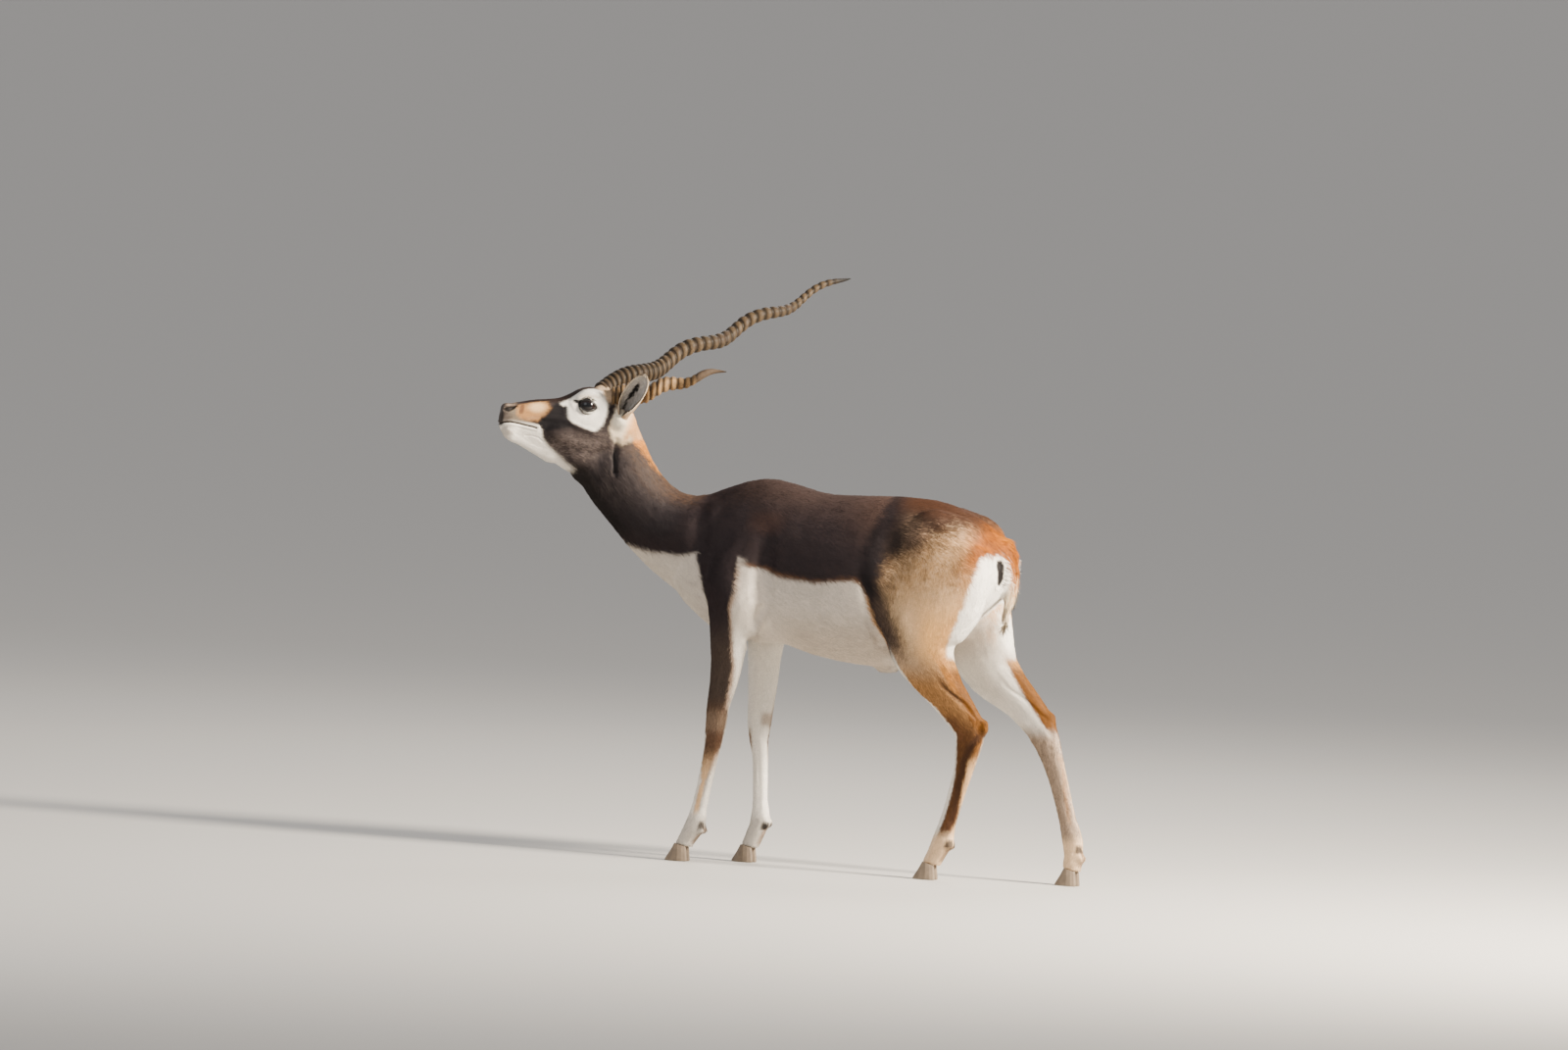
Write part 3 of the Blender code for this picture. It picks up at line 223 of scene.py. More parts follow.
def inside(x, z, outline, soft):
    """One inside an outline and nothing outside it, with a soft edge."""
    points = np.array(outline, dtype=float)
    nearest = np.full(len(x), 1e9)
    within = np.zeros(len(x), dtype=bool)
    for a, b in zip(points, np.roll(points, -1, axis=0)):
        step = b - a
        t = np.clip(((x - a[0]) * step[0] + (z - a[1]) * step[1]) / (step @ step), 0, 1)
        nearest = np.minimum(nearest, np.hypot(x - a[0] - t * step[0], z - a[1] - t * step[1]))
        slope = step[1] if abs(step[1]) > 1e-9 else 1e-9
        crosses = (a[1] > z) != (b[1] > z)
        within ^= crosses & (x < step[0] * (z - a[1]) / slope + a[0])
    return ramp(np.where(within, nearest, -nearest), -soft, soft)


def line_gap(u, v, line):
    """Distance from a line of straight steps in the picture, in picture elements."""
    nearest = np.full(len(u), 1e9)
    for a, b in zip(line, line[1:]):
        dx, dy = b[0] - a[0], b[1] - a[1]
        t = np.clip(((u - a[0]) * dx + (v - a[1]) * dy) / (dx * dx + dy * dy), 0, 1)
        nearest = np.minimum(nearest, np.hypot(u - a[0] - t * dx, v - a[1] - t * dy))
    return nearest


def unit(vector):
    """The same direction with length one."""
    return vector / np.linalg.norm(vector)


def unit_rows(vectors):
    """Each row of an array with length one."""
    return vectors / np.linalg.norm(vectors, axis=1)[:, None]


def dots(first, second):
    """The dot product of each row of one array with that of another."""
    return np.sum(first * second, axis=1)


def curve(places, values, at):
    """A smooth curve through values given at rising places."""
    places, values, at = np.array(places, float), np.array(values, float), np.asarray(at, float)
    slopes = np.gradient(values, places)
    index = np.clip(np.searchsorted(places, at) - 1, 0, len(places) - 2)
    width = places[index + 1] - places[index]
    t = np.clip((at - places[index]) / width, 0, 1)
    start, end = values[index], values[index + 1]
    bend = slopes[index] * width * (t ** 3 - 2 * t ** 2 + t) + slopes[index + 1] * width * (t ** 3 - t ** 2)
    return start * (2 * t ** 3 - 3 * t ** 2 + 1) + end * (3 * t ** 2 - 2 * t ** 3) + bend


def at_height(rows, z):
    """The value a table of heights gives at each height."""
    return np.interp(z, [row[0] for row in rows], [row[1] for row in rows])


def picture_axes():
    """The picture's right and up, as directions in space."""
    a, e, r = (math.radians(value) for value in (VIEW_AZIMUTH, VIEW_HEIGHT, VIEW_LEAN))
    level = np.array([math.cos(a), math.sin(a), 0.0])
    rise = np.array([-math.sin(a) * math.sin(e), math.cos(a) * math.sin(e), math.cos(e)])
    return level * math.cos(r) + rise * math.sin(r), rise * math.cos(r) - level * math.sin(r)


def seen(points):
    """Where points on the animal's left side stand in the picture, in picture elements."""
    right, up = picture_axes()
    across = PICTURE_ORIGIN[0] + points @ right / PICTURE_STEP
    down = PICTURE_ORIGIN[1] - points @ up / PICTURE_STEP
    return across, down


def seen_body(points):
    """Where points of trunk, tail and legs stand in the picture, with the right side mirrored."""
    return seen(points * (1, 0, 1) - np.abs(points) * (0, 1, 0))


def to_left(points, located):
    """Points of head and neck, with those of the right side mirrored to the left."""
    weights, places, runs, _ = located
    side = (points - HEAD_POINT) @ HEAD_RIGHT
    head = points - HEAD_RIGHT * (2 * np.clip(side, 0, None))[:, None]
    left = unit_rows(np.cross(runs[NECK], UP))
    side = -dots(points - places[NECK], left)
    neck = points + left * (2 * np.clip(side, 0, None))[:, None]
    share = weights[HEAD] / (weights[HEAD] + weights[NECK] + 1e-9)
    return blend(neck, head, ramp(share, 0.35, 0.75))


def locate(points):
    """How strongly each part holds each point, and the nearest place, run and reach on the part's line."""
    weights, places, runs, reaches = [], [], [], []
    for name in PARTS:
        rows = np.array(AXES[name])
        lengths = np.linalg.norm(np.diff(rows[:, :3], axis=0), axis=1)
        starts = np.concatenate([[0], np.cumsum(lengths)])
        best = np.full(len(points), 1e9)
        place = np.zeros((len(points), 3))
        run = np.zeros((len(points), 3))
        reach = np.zeros(len(points))
        for index in range(len(rows) - 1):
            first, second = rows[index], rows[index + 1]
            step = second[:3] - first[:3]
            t = np.clip((points - first[:3]) @ step / (step @ step), 0, 1)
            spot = first[:3] + t[:, None] * step
            radius = first[3] + t * (second[3] - first[3])
            ratio = np.linalg.norm(points - spot, axis=1) / radius
            closer = ratio < best
            best[closer] = ratio[closer]
            place[closer] = spot[closer]
            run[closer] = step / lengths[index]
            reach[closer] = (starts[index] + t * lengths[index])[closer]
        weights.append(1 / (0.04 + best ** 6))
        places.append(place)
        runs.append(run)
        reaches.append(reach)
    weights = np.array(weights)
    return weights / weights.sum(axis=0), np.array(places), np.array(runs), np.array(reaches)


def ahead_of(points):
    """How far points lie ahead of the head's own point."""
    return (points - HEAD_POINT) @ FACING


def behind(points, name):
    """How far points lie behind a leg's middle line."""
    rows = np.array(AXES[name])[::-1]
    return points[:, 0] - np.interp(points[:, 2], rows[:, 2], rows[:, 0])


def eye_frame(side):
    """The middle of an eye and the directions along, across and out of its opening."""
    look = unit(HEAD_RIGHT * side + FACING * 0.22 + UP * 0.1)
    along = unit(unit(FACING - look * (FACING @ look)) + UP * 0.27)
    up = np.cross(along, look)
    return head_place(EYE_AHEAD, side * EYE_OUT, EYE_HEIGHT), along, look, up * np.sign(up[2])


def lid_reach(points, side):
    """How far out points lie on the almond between the lids: one at its edge, and more outside it."""
    centre, along, look, up = eye_frame(side)
    local = points - centre
    x, y = local @ along, local @ up
    reach = np.sqrt((x / LID_HALF_LENGTH) ** 2 + (np.abs(y) / LID_HALF_HEIGHT) ** 1.3)
    return np.where(local @ look > 0.002, reach, 9.0)


def paint(colours, colour, mask):
    """Lay a colour over the others by a mask."""
    return blend(colours, np.array(colour), np.clip(mask, 0, 1))


def blend(under, over, share):
    """Move from one set of values to another by a share for each point."""
    return under + (over - under) * share[:, None]


def plain(colour, points):
    """One colour for every point."""
    return np.tile(np.array(colour), (len(points), 1))


def brush(colours):
    """A call that lays one more colour over these colours by a mask."""
    def lay(colour, mask):
        colours[:] = paint(colours, colour, mask)
    return lay


def head_marks(points, left, colours, weight):
    """Dark cheeks and bridge, white eye rings and jaw, a tan muzzle, and cream behind the ears."""
    u, v = seen(left)
    side = np.abs((points - HEAD_POINT) @ HEAD_RIGHT)
    ahead = ahead_of(points)
    mid, fine = noise(points, 160, 3), noise(points, 520, 4)
    shake = (mid - 0.5) * 2.2 + (fine - 0.5) * 2.2
    face = plain((0.036, 0.027, 0.026), points)
    lay = brush(face)
    grizzle = ramp(fine + mid * 0.5, 0.45, 0.95)
    low = ramp(v + (u - 590) * 0.12, 436, 450) * ramp(v, 486, 468)
    lay((0.12, 0.093, 0.082), grizzle * (0.12 + 0.88 * low) * ramp(u, 552, 562))
    lay((0.056, 0.043, 0.04), low * (1 - grizzle) * 0.6)
    lay((0.014, 0.011, 0.011), ramp(v + shake, 466, 480) * ramp(u, 575, 590) * ramp(u, 622, 606) * 0.8)
    lay((0.013, 0.011, 0.012), inside(u + shake * 0.4, v + shake * 0.4, BLACK_BAND, 2.6))
    lay((0.024, 0.015, 0.013), ramp(v, 411.5, 409.0) * ramp(u, 522, 530) * ramp(u, 592, 570))
    lay((0.172, 0.134, 0.095), inside(u, v, LIP_EDGE, 1.0) * ramp(v + (u - 530) * 0.1, 412, 416))
    tan = inside(u + shake * 0.6, v + shake * 0.6, TAN_MUZZLE, 2.8) * ramp(side, 0.0085, 0.013)
    lay((0.42, 0.215, 0.08), tan)
    lay((0.7, 0.47, 0.245), tan * patch(u, v, (548, 415.5), (10, 6), 1.25, 0.35))
    lay((0.17, 0.08, 0.038), tan * ramp(np.abs(u - 532 - (418 - v) * 0.2), 3.8, 1.0) * ramp(mid, 0.2, 0.6))
    lay((0.4, 0.23, 0.12), tan * ramp(np.abs(v - 426 + (u - 545) * 0.2), 3.0, 0.6) * 0.6)
    soft = 1.4 + 1.8 * ramp(v, 445, 462)
    jaw = inside(u + shake * 1.1, v + shake * 1.1, LIP_EDGE, soft) * ramp(v - (u - 530) * 0.15, 428.5, 432.5)
    lay((0.88, 0.82, 0.735), jaw)
    # Painted shade: grey-brown over the white at the front of the chin.
    chin_shade = patch(u, v, (516, 440), (9, 9), 1.2, 0.2)
    lay((0.3, 0.24, 0.19), jaw * chin_shade * 0.5)
    pad = ramp(u + np.abs(v - 425) * 0.25, 525, 517.5) * ramp(v, 432.0, 430.0)
    lay((0.1, 0.078, 0.066), pad * 0.9)
    lay((0.36, 0.255, 0.18), ramp(v, 414.5, 412.0) * ramp(u, 528, 524) * ramp(u, 508, 513) * 0.7)
    snout = ramp(u + np.abs(v - 424) * 0.16, 515.5, 512.5) * ramp(v, 434.5, 432.5) * ramp(v, 410, 412)
    lay((0.026, 0.02, 0.018), snout * 0.92)
    lay((0.01, 0.008, 0.007), inside(u, v, NOSTRIL, 0.8))
    lay((0.04, 0.027, 0.02), ramp(line_gap(u, v, MOUTH_LINE), 1.35, 0.5) * 0.95)
    tip = ramp(ahead, 0.198, 0.212) * ramp(v, 433, 431)
    lay((0.06, 0.046, 0.04), tip * ramp(side, 0.013, 0.007) * 0.8)
    lay((0.026, 0.019, 0.018), inside(u + shake * 0.4, v, DARK_STRIP, 1.8))
    crown = ramp(u, 604, 612) * ramp(v, 414, 406)
    lay((0.5, 0.355, 0.225), crown * (0.7 + 0.3 * fine))
    ring = inside(u + shake * 0.5, v + shake * 0.5, EYE_RING, 1.3) * ramp(side, 0.017, 0.022)
    lay((0.9, 0.85, 0.765), ring)
    lay((0.56, 0.42, 0.28), ring * ramp(np.abs(np.hypot((u - 599) / 1.5, v - 416) - 12.2), 2.2, 0.6)
        * ramp(v, 408, 403) * 0.5)
    lids = np.minimum(lid_reach(points, LEFT), lid_reach(points, RIGHT))
    lay((0.01, 0.008, 0.008), ramp(lids, 1.24, 1.1))
    tear = ramp(line_gap(u, v, TEAR_LINE), 2.4, 1.2) * ring
    lay((0.012, 0.009, 0.009), tear * 0.95)
    cream = inside(u + shake * 0.8, v + shake * 0.8, CREAM_PATCH, 2.6) * ramp(v, 402, 414)
    lay((0.86, 0.72, 0.52), cream * 0.95)
    lay((0.91, 0.82, 0.66), cream * patch(u, v, (631, 430), (8, 12), 1.2, 0.4))
    gold = cream * ramp(u + (v - 430) * 0.25, 635, 647)
    lay((0.5, 0.21, 0.045), gold * 0.85)
    lay((0.4, 0.15, 0.022), gold * ramp(v, 434, 450))
    return blend(colours, face, weight)


def neck_marks(points, left, colours, weight):
    """A charcoal neck with a black throat, speckled sides and an orange nape."""
    u, v = seen(left)
    mid, fine = noise(points, 150, 13), noise(points, 560, 12)
    shake = (mid - 0.5) * 5 + (fine - 0.5) * 3.5
    gold = np.interp(v, [430, 442, 451, 459, 471, 483, 493, 520],
                     [634, 636.5, 645, 652, 662.5, 673, 684, 730])
    grey = np.interp(v, [430, 453, 475, 487, 500, 508, 520], [622, 627, 638, 643, 650, 658, 690])
    front = np.interp(v, [465, 475, 486, 500, 518, 540, 560], [571, 583, 591, 599, 610, 629, 641])
    neck = plain((0.027, 0.021, 0.022), points)
    lay = brush(neck)
    streak = ramp(noise(points * np.array([1, 1, 0.25]), 330, 14), 0.35, 0.8)
    lay((0.08, 0.064, 0.058), streak * ramp(v, 530, 495) * (0.75 - 0.45 * ramp(u, 625, 650)))
    lay((0.012, 0.01, 0.01), ramp(u - front, 17, 6) * 0.8)
    spot = ramp(fine + 0.4 * mid, 0.5, 0.85)
    between = ramp(u + shake, grey - 5, gold + 2) * ramp(v, 526, 506)
    lay((0.042, 0.026, 0.02), between * 0.75)
    lay((0.074, 0.041, 0.023), spot * between * 0.8)
    lay((0.4, 0.15, 0.022), ramp(u + shake * 0.9, gold - 2, gold + 4) * ramp(v, 492, 470))
    cream = inside(u + shake * 0.5, v + shake * 0.5, CREAM_PATCH, 2.6)
    lay((0.86, 0.72, 0.52), cream * (1 - 0.8 * ramp(u, 637, 648)))
    # Painted shade: near-black along the crease behind the jaw.
    lay((0.01, 0.008, 0.008), ramp(line_gap(u, v, CREASE), 3.2, 1.2) * 0.85)
    keep = weight * ramp(points[:, 2] + (mid - 0.5) * 0.02, 0.59, 0.632)
    return blend(colours, neck, keep)


def limb_marks(points, colours, located):
    """Dark fronts and white backs of the forelegs, tan hind legs with white inside and pale pasterns, and
    painted shade along the hind legs' grooves.
    """
    weights, places, _, _ = located
    speck, fine = noise(points, 300, 8) - 0.5, noise(points, 620, 9) - 0.5
    shake = speck * 0.003 + fine * 0.0016
    for name in LEGS:
        side = LEFT if name.endswith("left") else RIGHT
        offset = points - places[PARTS.index(name)]
        outer = offset[:, 1] * side / (np.linalg.norm(offset[:, :2], axis=1) + 1e-6)
        out = ramp(outer + speck * 0.2, -0.3, 0.18)
        back = behind(points, name) + shake
        z = points[:, 2]
        leg = plain((0.83, 0.775, 0.695), points)
        lay = brush(leg)
        if name.startswith("fore"):
            rear, front = at_height(FORE_REAR, z), at_height(FORE_FRONT, z)
            dark = ramp(back, rear + 0.002, rear - 0.002) * ramp(back, front - 0.002, front + 0.002)
            dark *= out
            fringe = ramp(np.abs(back - rear - 0.001), 0.007, 0.001) * out * ramp(z, 0.1, 0.2)
            lay((0.27, 0.15, 0.08), fringe * 0.8)
            tint = plain((0.058, 0.041, 0.033), points)
            lay_tint = brush(tint)
            lay_tint((0.105, 0.057, 0.034), ramp(z, 0.33, 0.27))
            lay_tint((0.64, 0.42, 0.235), ramp(z, 0.225, 0.165))
            lay_tint((0.245, 0.175, 0.12), near(z, 0.272, 0.03, 0.008) * 0.55)
            leg[:] = blend(leg, tint, dark * ramp(z, 0.08, 0.105))
            lay((0.2, 0.11, 0.06), near(z, 0.235, 0.03, 0.008) * ramp(back, -0.008, -0.014) * (1 - out)
                * 0.9)
            lay((0.3, 0.19, 0.12), near(z, 0.275, 0.018, 0.006) * ramp(back, 0.004, 0.012) * (1 - out) * 0.6)
        else:
            tan = plain((0.31, 0.155, 0.056), points)
            lay_tan = brush(tan)
            lay_tan((0.47, 0.33, 0.21), ramp(z, 0.365, 0.425) * (0.35 + 0.6 * ramp(back, 0.02, -0.03)))
            line = at_height(HIND_LINE, z)
            groove = ramp(np.abs(back - line + 0.001), 0.0105, 0.003)
            lay_tan((0.075, 0.029, 0.01), ramp(z, 0.345, 0.27) * 0.9)
            # Painted shade: dark brown along the groove between bone and tendon.
            lay_tan((0.045, 0.019, 0.009), groove * ramp(z, 0.4, 0.36) * 0.85)
            lay_tan((0.26, 0.1, 0.016), ramp(back - line, 0.008, 0.013) * ramp(z, 0.275, 0.3) * 0.9)
            lay_tan((0.2, 0.085, 0.022), ramp(back - line, 0.007, 0.012) * ramp(z, 0.295, 0.27) * 0.7)
            lay_tan((0.62, 0.39, 0.2), ramp(back - line, 0.004, 0.009) * ramp(z, 0.25, 0.215) * 0.8)
            hock = near(z, 0.29, 0.034, 0.012) * ramp(back, 0.006, -0.012)
            lay_tan((0.12, 0.05, 0.02), hock * 0.8)
            front = at_height(HIND_FRONT, z)
            leg[:] = blend(leg, tan, out * ramp(back, front - 0.002, front + 0.002))
            lay((0.19, 0.103, 0.044), (1 - out) * ramp(z, 0.31, 0.27) * 0.82)
            # Painted shade: a tan line along the groove on the inner side of each hind leg.
            inner = ramp(np.abs(back - at_height(INNER_LINE, z)), 0.005, 0.001) * ramp(z, 0.11, 0.13)
            lay((0.3, 0.17, 0.085), inner * (1 - out) * ramp(z, 0.26, 0.235) * 0.7)
            heel = ramp(back, at_height([(0.285, 0.018), (0.33, 0.022), (0.4, 0.034), (0.47, 0.05)], z),
                        at_height([(0.285, 0.026), (0.33, 0.03), (0.4, 0.042), (0.47, 0.058)], z))
            lay((0.115, 0.042, 0.005), heel * ramp(z, 0.27, 0.3))
        pastern = ramp(z + speck * 0.01, 0.1, 0.078)
        pale = (0.56, 0.51, 0.445) if name.startswith("fore") else (0.76, 0.54, 0.34)
        lay(pale, pastern * 0.9)
        strip = ramp(offset[:, 0], 0.007, 0.013) * ramp(z, 0.074, 0.066) * ramp(z, 0.03, 0.04)
        lay((0.17, 0.105, 0.066), strip * ramp(np.abs(offset[:, 1]), 0.012, 0.006) * 0.8)
        claw = ramp(offset[:, 0], 0.008, 0.013) * near(z, 0.071, 0.01, 0.005)
        lay((0.03, 0.022, 0.018), claw * ramp(np.abs(np.abs(offset[:, 1]) - 0.009), 0.009, 0.004) * 0.9)
        leg *= (1 + 0.16 * speck)[:, None]
        top = ramp(z, 0.48, 0.4) if name.startswith("fore") else ramp(z, 0.46, 0.39)
        colours = blend(colours, leg, weights[PARTS.index(name)] * top)
    return colours


def haunch_marks(points, colours):
    """The grizzled haunch, the orange rump and the white seat."""
    lay = brush(colours)
    across = np.abs(points[:, 1])
    far = ramp(points[:, 1], 0.015, 0.06) * np.interp(points[:, 2], [0.44, 0.52, 0.6], [0.055, 0.033, 0.0])
    u, v = seen(np.stack([points[:, 0] - far, -across, points[:, 2]], axis=1))
    mid, fine = noise(points, 120, 6) - 0.5, noise(points, 420, 2) - 0.5
    shake, ruffle = mid * 9 + fine * 7, mid * 4 + fine * 11
    edge = np.interp(v, [540, 554, 568, 582, 596, 610, 624, 638, 652, 666, 680, 694],
                     [935, 922, 901, 895, 894, 898, 901, 907, 912, 916.5, 922, 933])
    dark_line = np.interp(v, [506, 520, 540, 560, 580, 600, 620, 640, 660, 690],
                          [918, 908, 897, 889, 884, 883, 886, 895, 908, 925])
    top_line = np.interp(u, [930, 970, 997, 1024, 1031], [507, 512, 525, 544, 550])
    lay((0.026, 0.017, 0.014), ramp(u + shake, dark_line, dark_line + 14))
    lay((0.046, 0.024, 0.016), ramp(u + ruffle + (540 - v) * 0.5, 925, 965))
    grey = plain((0.044, 0.021, 0.012), points)
    lay_grey = brush(grey)
    lit = ramp(v + (u - 930) * 0.6 + ruffle, 528, 590)
    lay_grey((0.51, 0.305, 0.14), lit * ramp(v + (u - 990) * 0.3, 522, 556))
    lay_grey((0.62, 0.43, 0.27), ramp(fine + mid * 0.4, 0.0, 0.28) * lit * 0.7)
    lay_grey((0.14, 0.08, 0.047), ramp(fine + mid * 0.4, -0.02, -0.3) * (1 - 0.55 * ramp(v, 580, 630))
             * (0.25 + 0.75 * lit) * 0.6)
    lay_grey((0.9, 0.62, 0.36), ramp(v, 580, 640) * lit * 0.75)
    lay_grey((0.95, 0.52, 0.17), ramp(v, 600, 650) * ramp(u, 925, 950) * 0.85)
    colours[:] = blend(colours, grey, ramp(u + ruffle, edge - 8, edge + 28) * ramp(v + ruffle, 515, 552))
    below = ramp(u + shake, edge + 6, edge - 10) * ramp(v, 600, 625)
    band = np.maximum(ramp(np.abs(u - dark_line + shake * 0.6), 15, 4), below * ramp(u, 876, 884))
    lay((0.011, 0.008, 0.009), band * (0.92 - 0.3 * ramp(v, 595, 630)))
    lay((0.08, 0.053, 0.04), ramp(v, 598, 625) * ramp(u + ruffle, edge - 15, edge - 4)
        * ramp(u, edge + 10, edge - 2) * 0.8)
    # Painted light: the hollow before the hip is lightened so that its own shadow reads softer.
    hip_painted_light = ramp(np.hypot((u - 931 + shake * 0.4) / 15, (v - 545 + shake * 0.4) / 22), 1.2, 0.2)
    lay((0.26, 0.165, 0.105), hip_painted_light * (0.5 + 1.1 * fine))
    high = ramp(v + shake * 0.5, 606, 568)
    rear = ramp(u, 1023, 1029) * ramp(v, 652, 632)
    lay((0.21, 0.056, 0.002), ramp(u + ruffle + (v - 545) * 0.4, 975, 1004) * np.maximum(high, rear))
    lay((0.04, 0.017, 0.009), ramp(v + ruffle * 0.5 - top_line, 24, 6) * ramp(u, 905, 935)
        * ramp(u, 1016, 992) * 0.92)
    rim = inside(u, v, SEAT, 22)
    lay((0.42, 0.19, 0.065), np.clip(rim * 2, 0, 1) * ramp(v, 560, 600) * 0.55)
    white = inside(u + mid * 3, v + mid * 3, SEAT, 2.2) * ramp(u, 940, 960)
    lay((0.9, 0.85, 0.77), white)


def body_marks(points):
    """The trunk and neck: blackish above, white below, grizzled haunch, bright rump and white buttocks."""
    x, y, z = points[:, 0], np.abs(points[:, 1]), points[:, 2]
    coarse, fine, mid = noise(points, 26, 1) - 0.5, noise(points, 330, 2), noise(points, 120, 6)
    wobble = coarse * 0.01 + (mid - 0.5) * 0.005
    colours = plain(DARK, points)
    lay = brush(colours)
    lay(BROWN, ramp(z, 0.64, 0.72) * ramp(x, -0.32, -0.25) * 0.9)
    lay(BROWN, ramp(mid + fine, 1.0, 1.6) * 0.35)
    red = patch(x, z, (-0.205, 0.655), (0.05, 0.03), 1.1, 0.2)
    lay((0.06, 0.03, 0.022), red * 0.5)
    # Painted light: a warm brown sheen over the top of the back, where the light falls on it.
    lay((0.058, 0.034, 0.027), ramp(x, -0.08, 0.06) * ramp(z, 0.59, 0.68))
    haunch_marks(points, colours)
    below = [(-0.42, 0.38), (-0.42, 0.56), *FLANK_LINE, (0.075, 0.395), (0.07, 0.3), (-0.42, 0.3)]
    belly = inside(x + wobble * 0.4, z + wobble * 0.4, below, 0.0035)
    fringe = inside(x + wobble * 0.4, z - 0.006 + wobble, below, 0.006) - belly
    lay(RUST, np.clip(fringe, 0, 1) * 0.9)
    underside = ramp(y, 0.075, 0.055) * ramp(z, 0.47, 0.44)
    lay(SHADED_WHITE, np.maximum(belly, underside))
    # Painted shade: the lower front of the belly turned warm grey, as white coat in shade under the body.
    lay((0.48, 0.395, 0.315), belly * ramp(z, 0.51, 0.44) * ramp(x, -0.22, -0.12) * 0.7)
    line = np.interp(z, [0.436, 0.48, 0.53, 0.548], [0.06, 0.034, 0.02, 0.009])
    seam = ramp(np.abs(x + wobble * 0.4 - line - 0.001), 0.0055, 0.0015) * ramp(z, 0.545, 0.52)
    lay((0.4, 0.22, 0.095), seam * ramp(z, 0.425, 0.445) * ramp(y, 0.06, 0.08) * 0.8)
    front = np.interp(z, [0.475, 0.495, 0.525, 0.555, 0.574], [-0.312, -0.317, -0.325, -0.332, -0.34])
    rear = at_height(FORE_REAR, z) - 0.258
    stripe = ramp(x + wobble * 0.5, front - 0.004, front + 0.004)
    stripe *= ramp(x + wobble * 0.5, rear + 0.004, rear - 0.004) * ramp(y, 0.045, 0.06)
    chest_top = np.interp(x, [-0.52, -0.487, -0.387, -0.34], [0.6, 0.592, 0.58, 0.588])
    chest = ramp(z + wobble * 0.5, chest_top + 0.005, chest_top - 0.004) * ramp(x, -0.225, -0.26)
    lay(SHADED_WHITE, chest)
    edge = ramp(np.abs(x + wobble - rear - 0.002), 0.008, 0.003) * ramp(z, 0.58, 0.56) * ramp(y, 0.045, 0.06)
    lay((0.33, 0.185, 0.095), edge * chest * 0.8)
    lay(DARK, stripe)
    groin = ramp(y, 0.07, 0.045) * ramp(z, 0.52, 0.48) * ramp(x, 0.02, 0.05)
    return paint(colours, SHADED_WHITE, groin)


def tail_marks(points, colours, weight):
    """The tail is orange outside, white along its edges and grey-brown under its tip."""
    z = points[:, 2]
    axis = np.array(AXES["tail"])[::-1]
    outer = points[:, 0] - np.interp(z, axis[:, 2], axis[:, 0])
    tail = plain((0.92, 0.78, 0.56), points)
    lay = brush(tail)
    back = ramp(outer, 0.002, 0.009)
    lay((0.42, 0.15, 0.018), back)
    lay((0.7, 0.4, 0.14), back * ramp(z, 0.59, 0.54) * (0.5 + 0.5 * noise(points, 300, 61)))
    lay((0.26, 0.082, 0.006), ramp(z, 0.6, 0.625))
    under = ramp(outer, -0.001, -0.007) * ramp(z, 0.585, 0.56) * ramp(z, 0.455, 0.475)
    lay((0.23, 0.18, 0.145), under * 0.85)
    return blend(colours, tail, weight)


def coat_colour(points, located=None):
    """The colour of the coat at each point, in the frame in which the animal was measured."""
    located = located or locate(points)
    weights = located[0]
    sharp = weights ** 3
    sharp /= sharp.sum(axis=0)
    left = to_left(points, located)
    colours = body_marks(points)
    colours = neck_marks(points, left, colours, sharp[NECK] + sharp[HEAD])
    colours = limb_marks(points, colours, (sharp, *located[1:]))
    u, v = seen(left)
    front = ramp(v + (u - 620) * 1.1 + (noise(points, 200, 21) - 0.5) * 6, 474, 462)
    colours = head_marks(points, left, colours, np.clip(sharp[HEAD] * 1.6, 0, 1) * front)
    colours = tail_marks(points, colours, sharp[TAIL])
    u, v = seen_body(points)
    # Painted shade: near-black in the gap between the tail and the buttock.
    gap = inside(u, v, TAIL_GAP, 1.0) * ramp(points[:, 0], 0.17, 0.19)
    return paint(colours, (0.01, 0.008, 0.008), gap)


def coat_depth(points, located):
    """How deep the coat is at each point: thin on face and legs, deeper on neck and trunk."""
    depths = {"head": 0.0012, "neck": 0.0036, "trunk": 0.003, "tail": 0.003}
    weights = located[0]
    total = np.zeros(len(points))
    for index, name in enumerate(PARTS):
        total += weights[index] * depths.get(name, 0.0012)
    high = np.clip((points[:, 2] - 0.3) / 0.15, 0, 1)
    return total * (0.6 + 0.4 * high)


def coat_flow(points, normals, located):
    """The way the hair lies: along each part, and falling with the ground's pull."""
    weights, _, runs, _ = located
    flow = np.einsum("kn,knd->nd", weights, runs)
    flow[:, 2] -= 0.38 * weights[TRUNK] + 0.1
    flow -= normals * dots(flow, normals)[:, None]
    return flow / (np.linalg.norm(flow, axis=1)[:, None] + 1e-9)


def link_object(name, data):
    """A new object in the scene."""
    obj = bpy.data.objects.new(name, data)
    bpy.context.scene.collection.objects.link(obj)
    return obj


def add_piece(name, mesh):
    """A piece of the animal, fixed to its one body."""
    obj = link_object(name, mesh)
    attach(obj, "root")
    return obj


def add_skin_piece(name, mesh, material, nodes):
    """A smooth piece with its material, in place of some of the solids."""
    mesh.shade_smooth()
    mesh.materials.clear()
    mesh.materials.append(material)
    piece = add_piece(name, mesh)
    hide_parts(*nodes)
    return piece


def bm_to_mesh(bm, mesh):
    """Write and free an edited mesh."""
    bm.to_mesh(mesh)
    bm.free()
    return mesh


def new_mesh(name, places, faces):
    """A mesh from corner places and faces of one size, given as arrays."""
    mesh = bpy.data.meshes.new(name)
    size = faces.shape[1]
    mesh.vertices.add(len(places))
    mesh.vertices.foreach_set("co", np.asarray(places, dtype=np.float32).ravel())
    mesh.loops.add(faces.size)
    mesh.loops.foreach_set("vertex_index", faces.astype(np.int32).ravel())
    mesh.polygons.add(len(faces))
    mesh.polygons.foreach_set("loop_start", np.arange(0, faces.size, size, dtype=np.int32))
    mesh.update(calc_edges=True)
    mesh.validate()
    return mesh


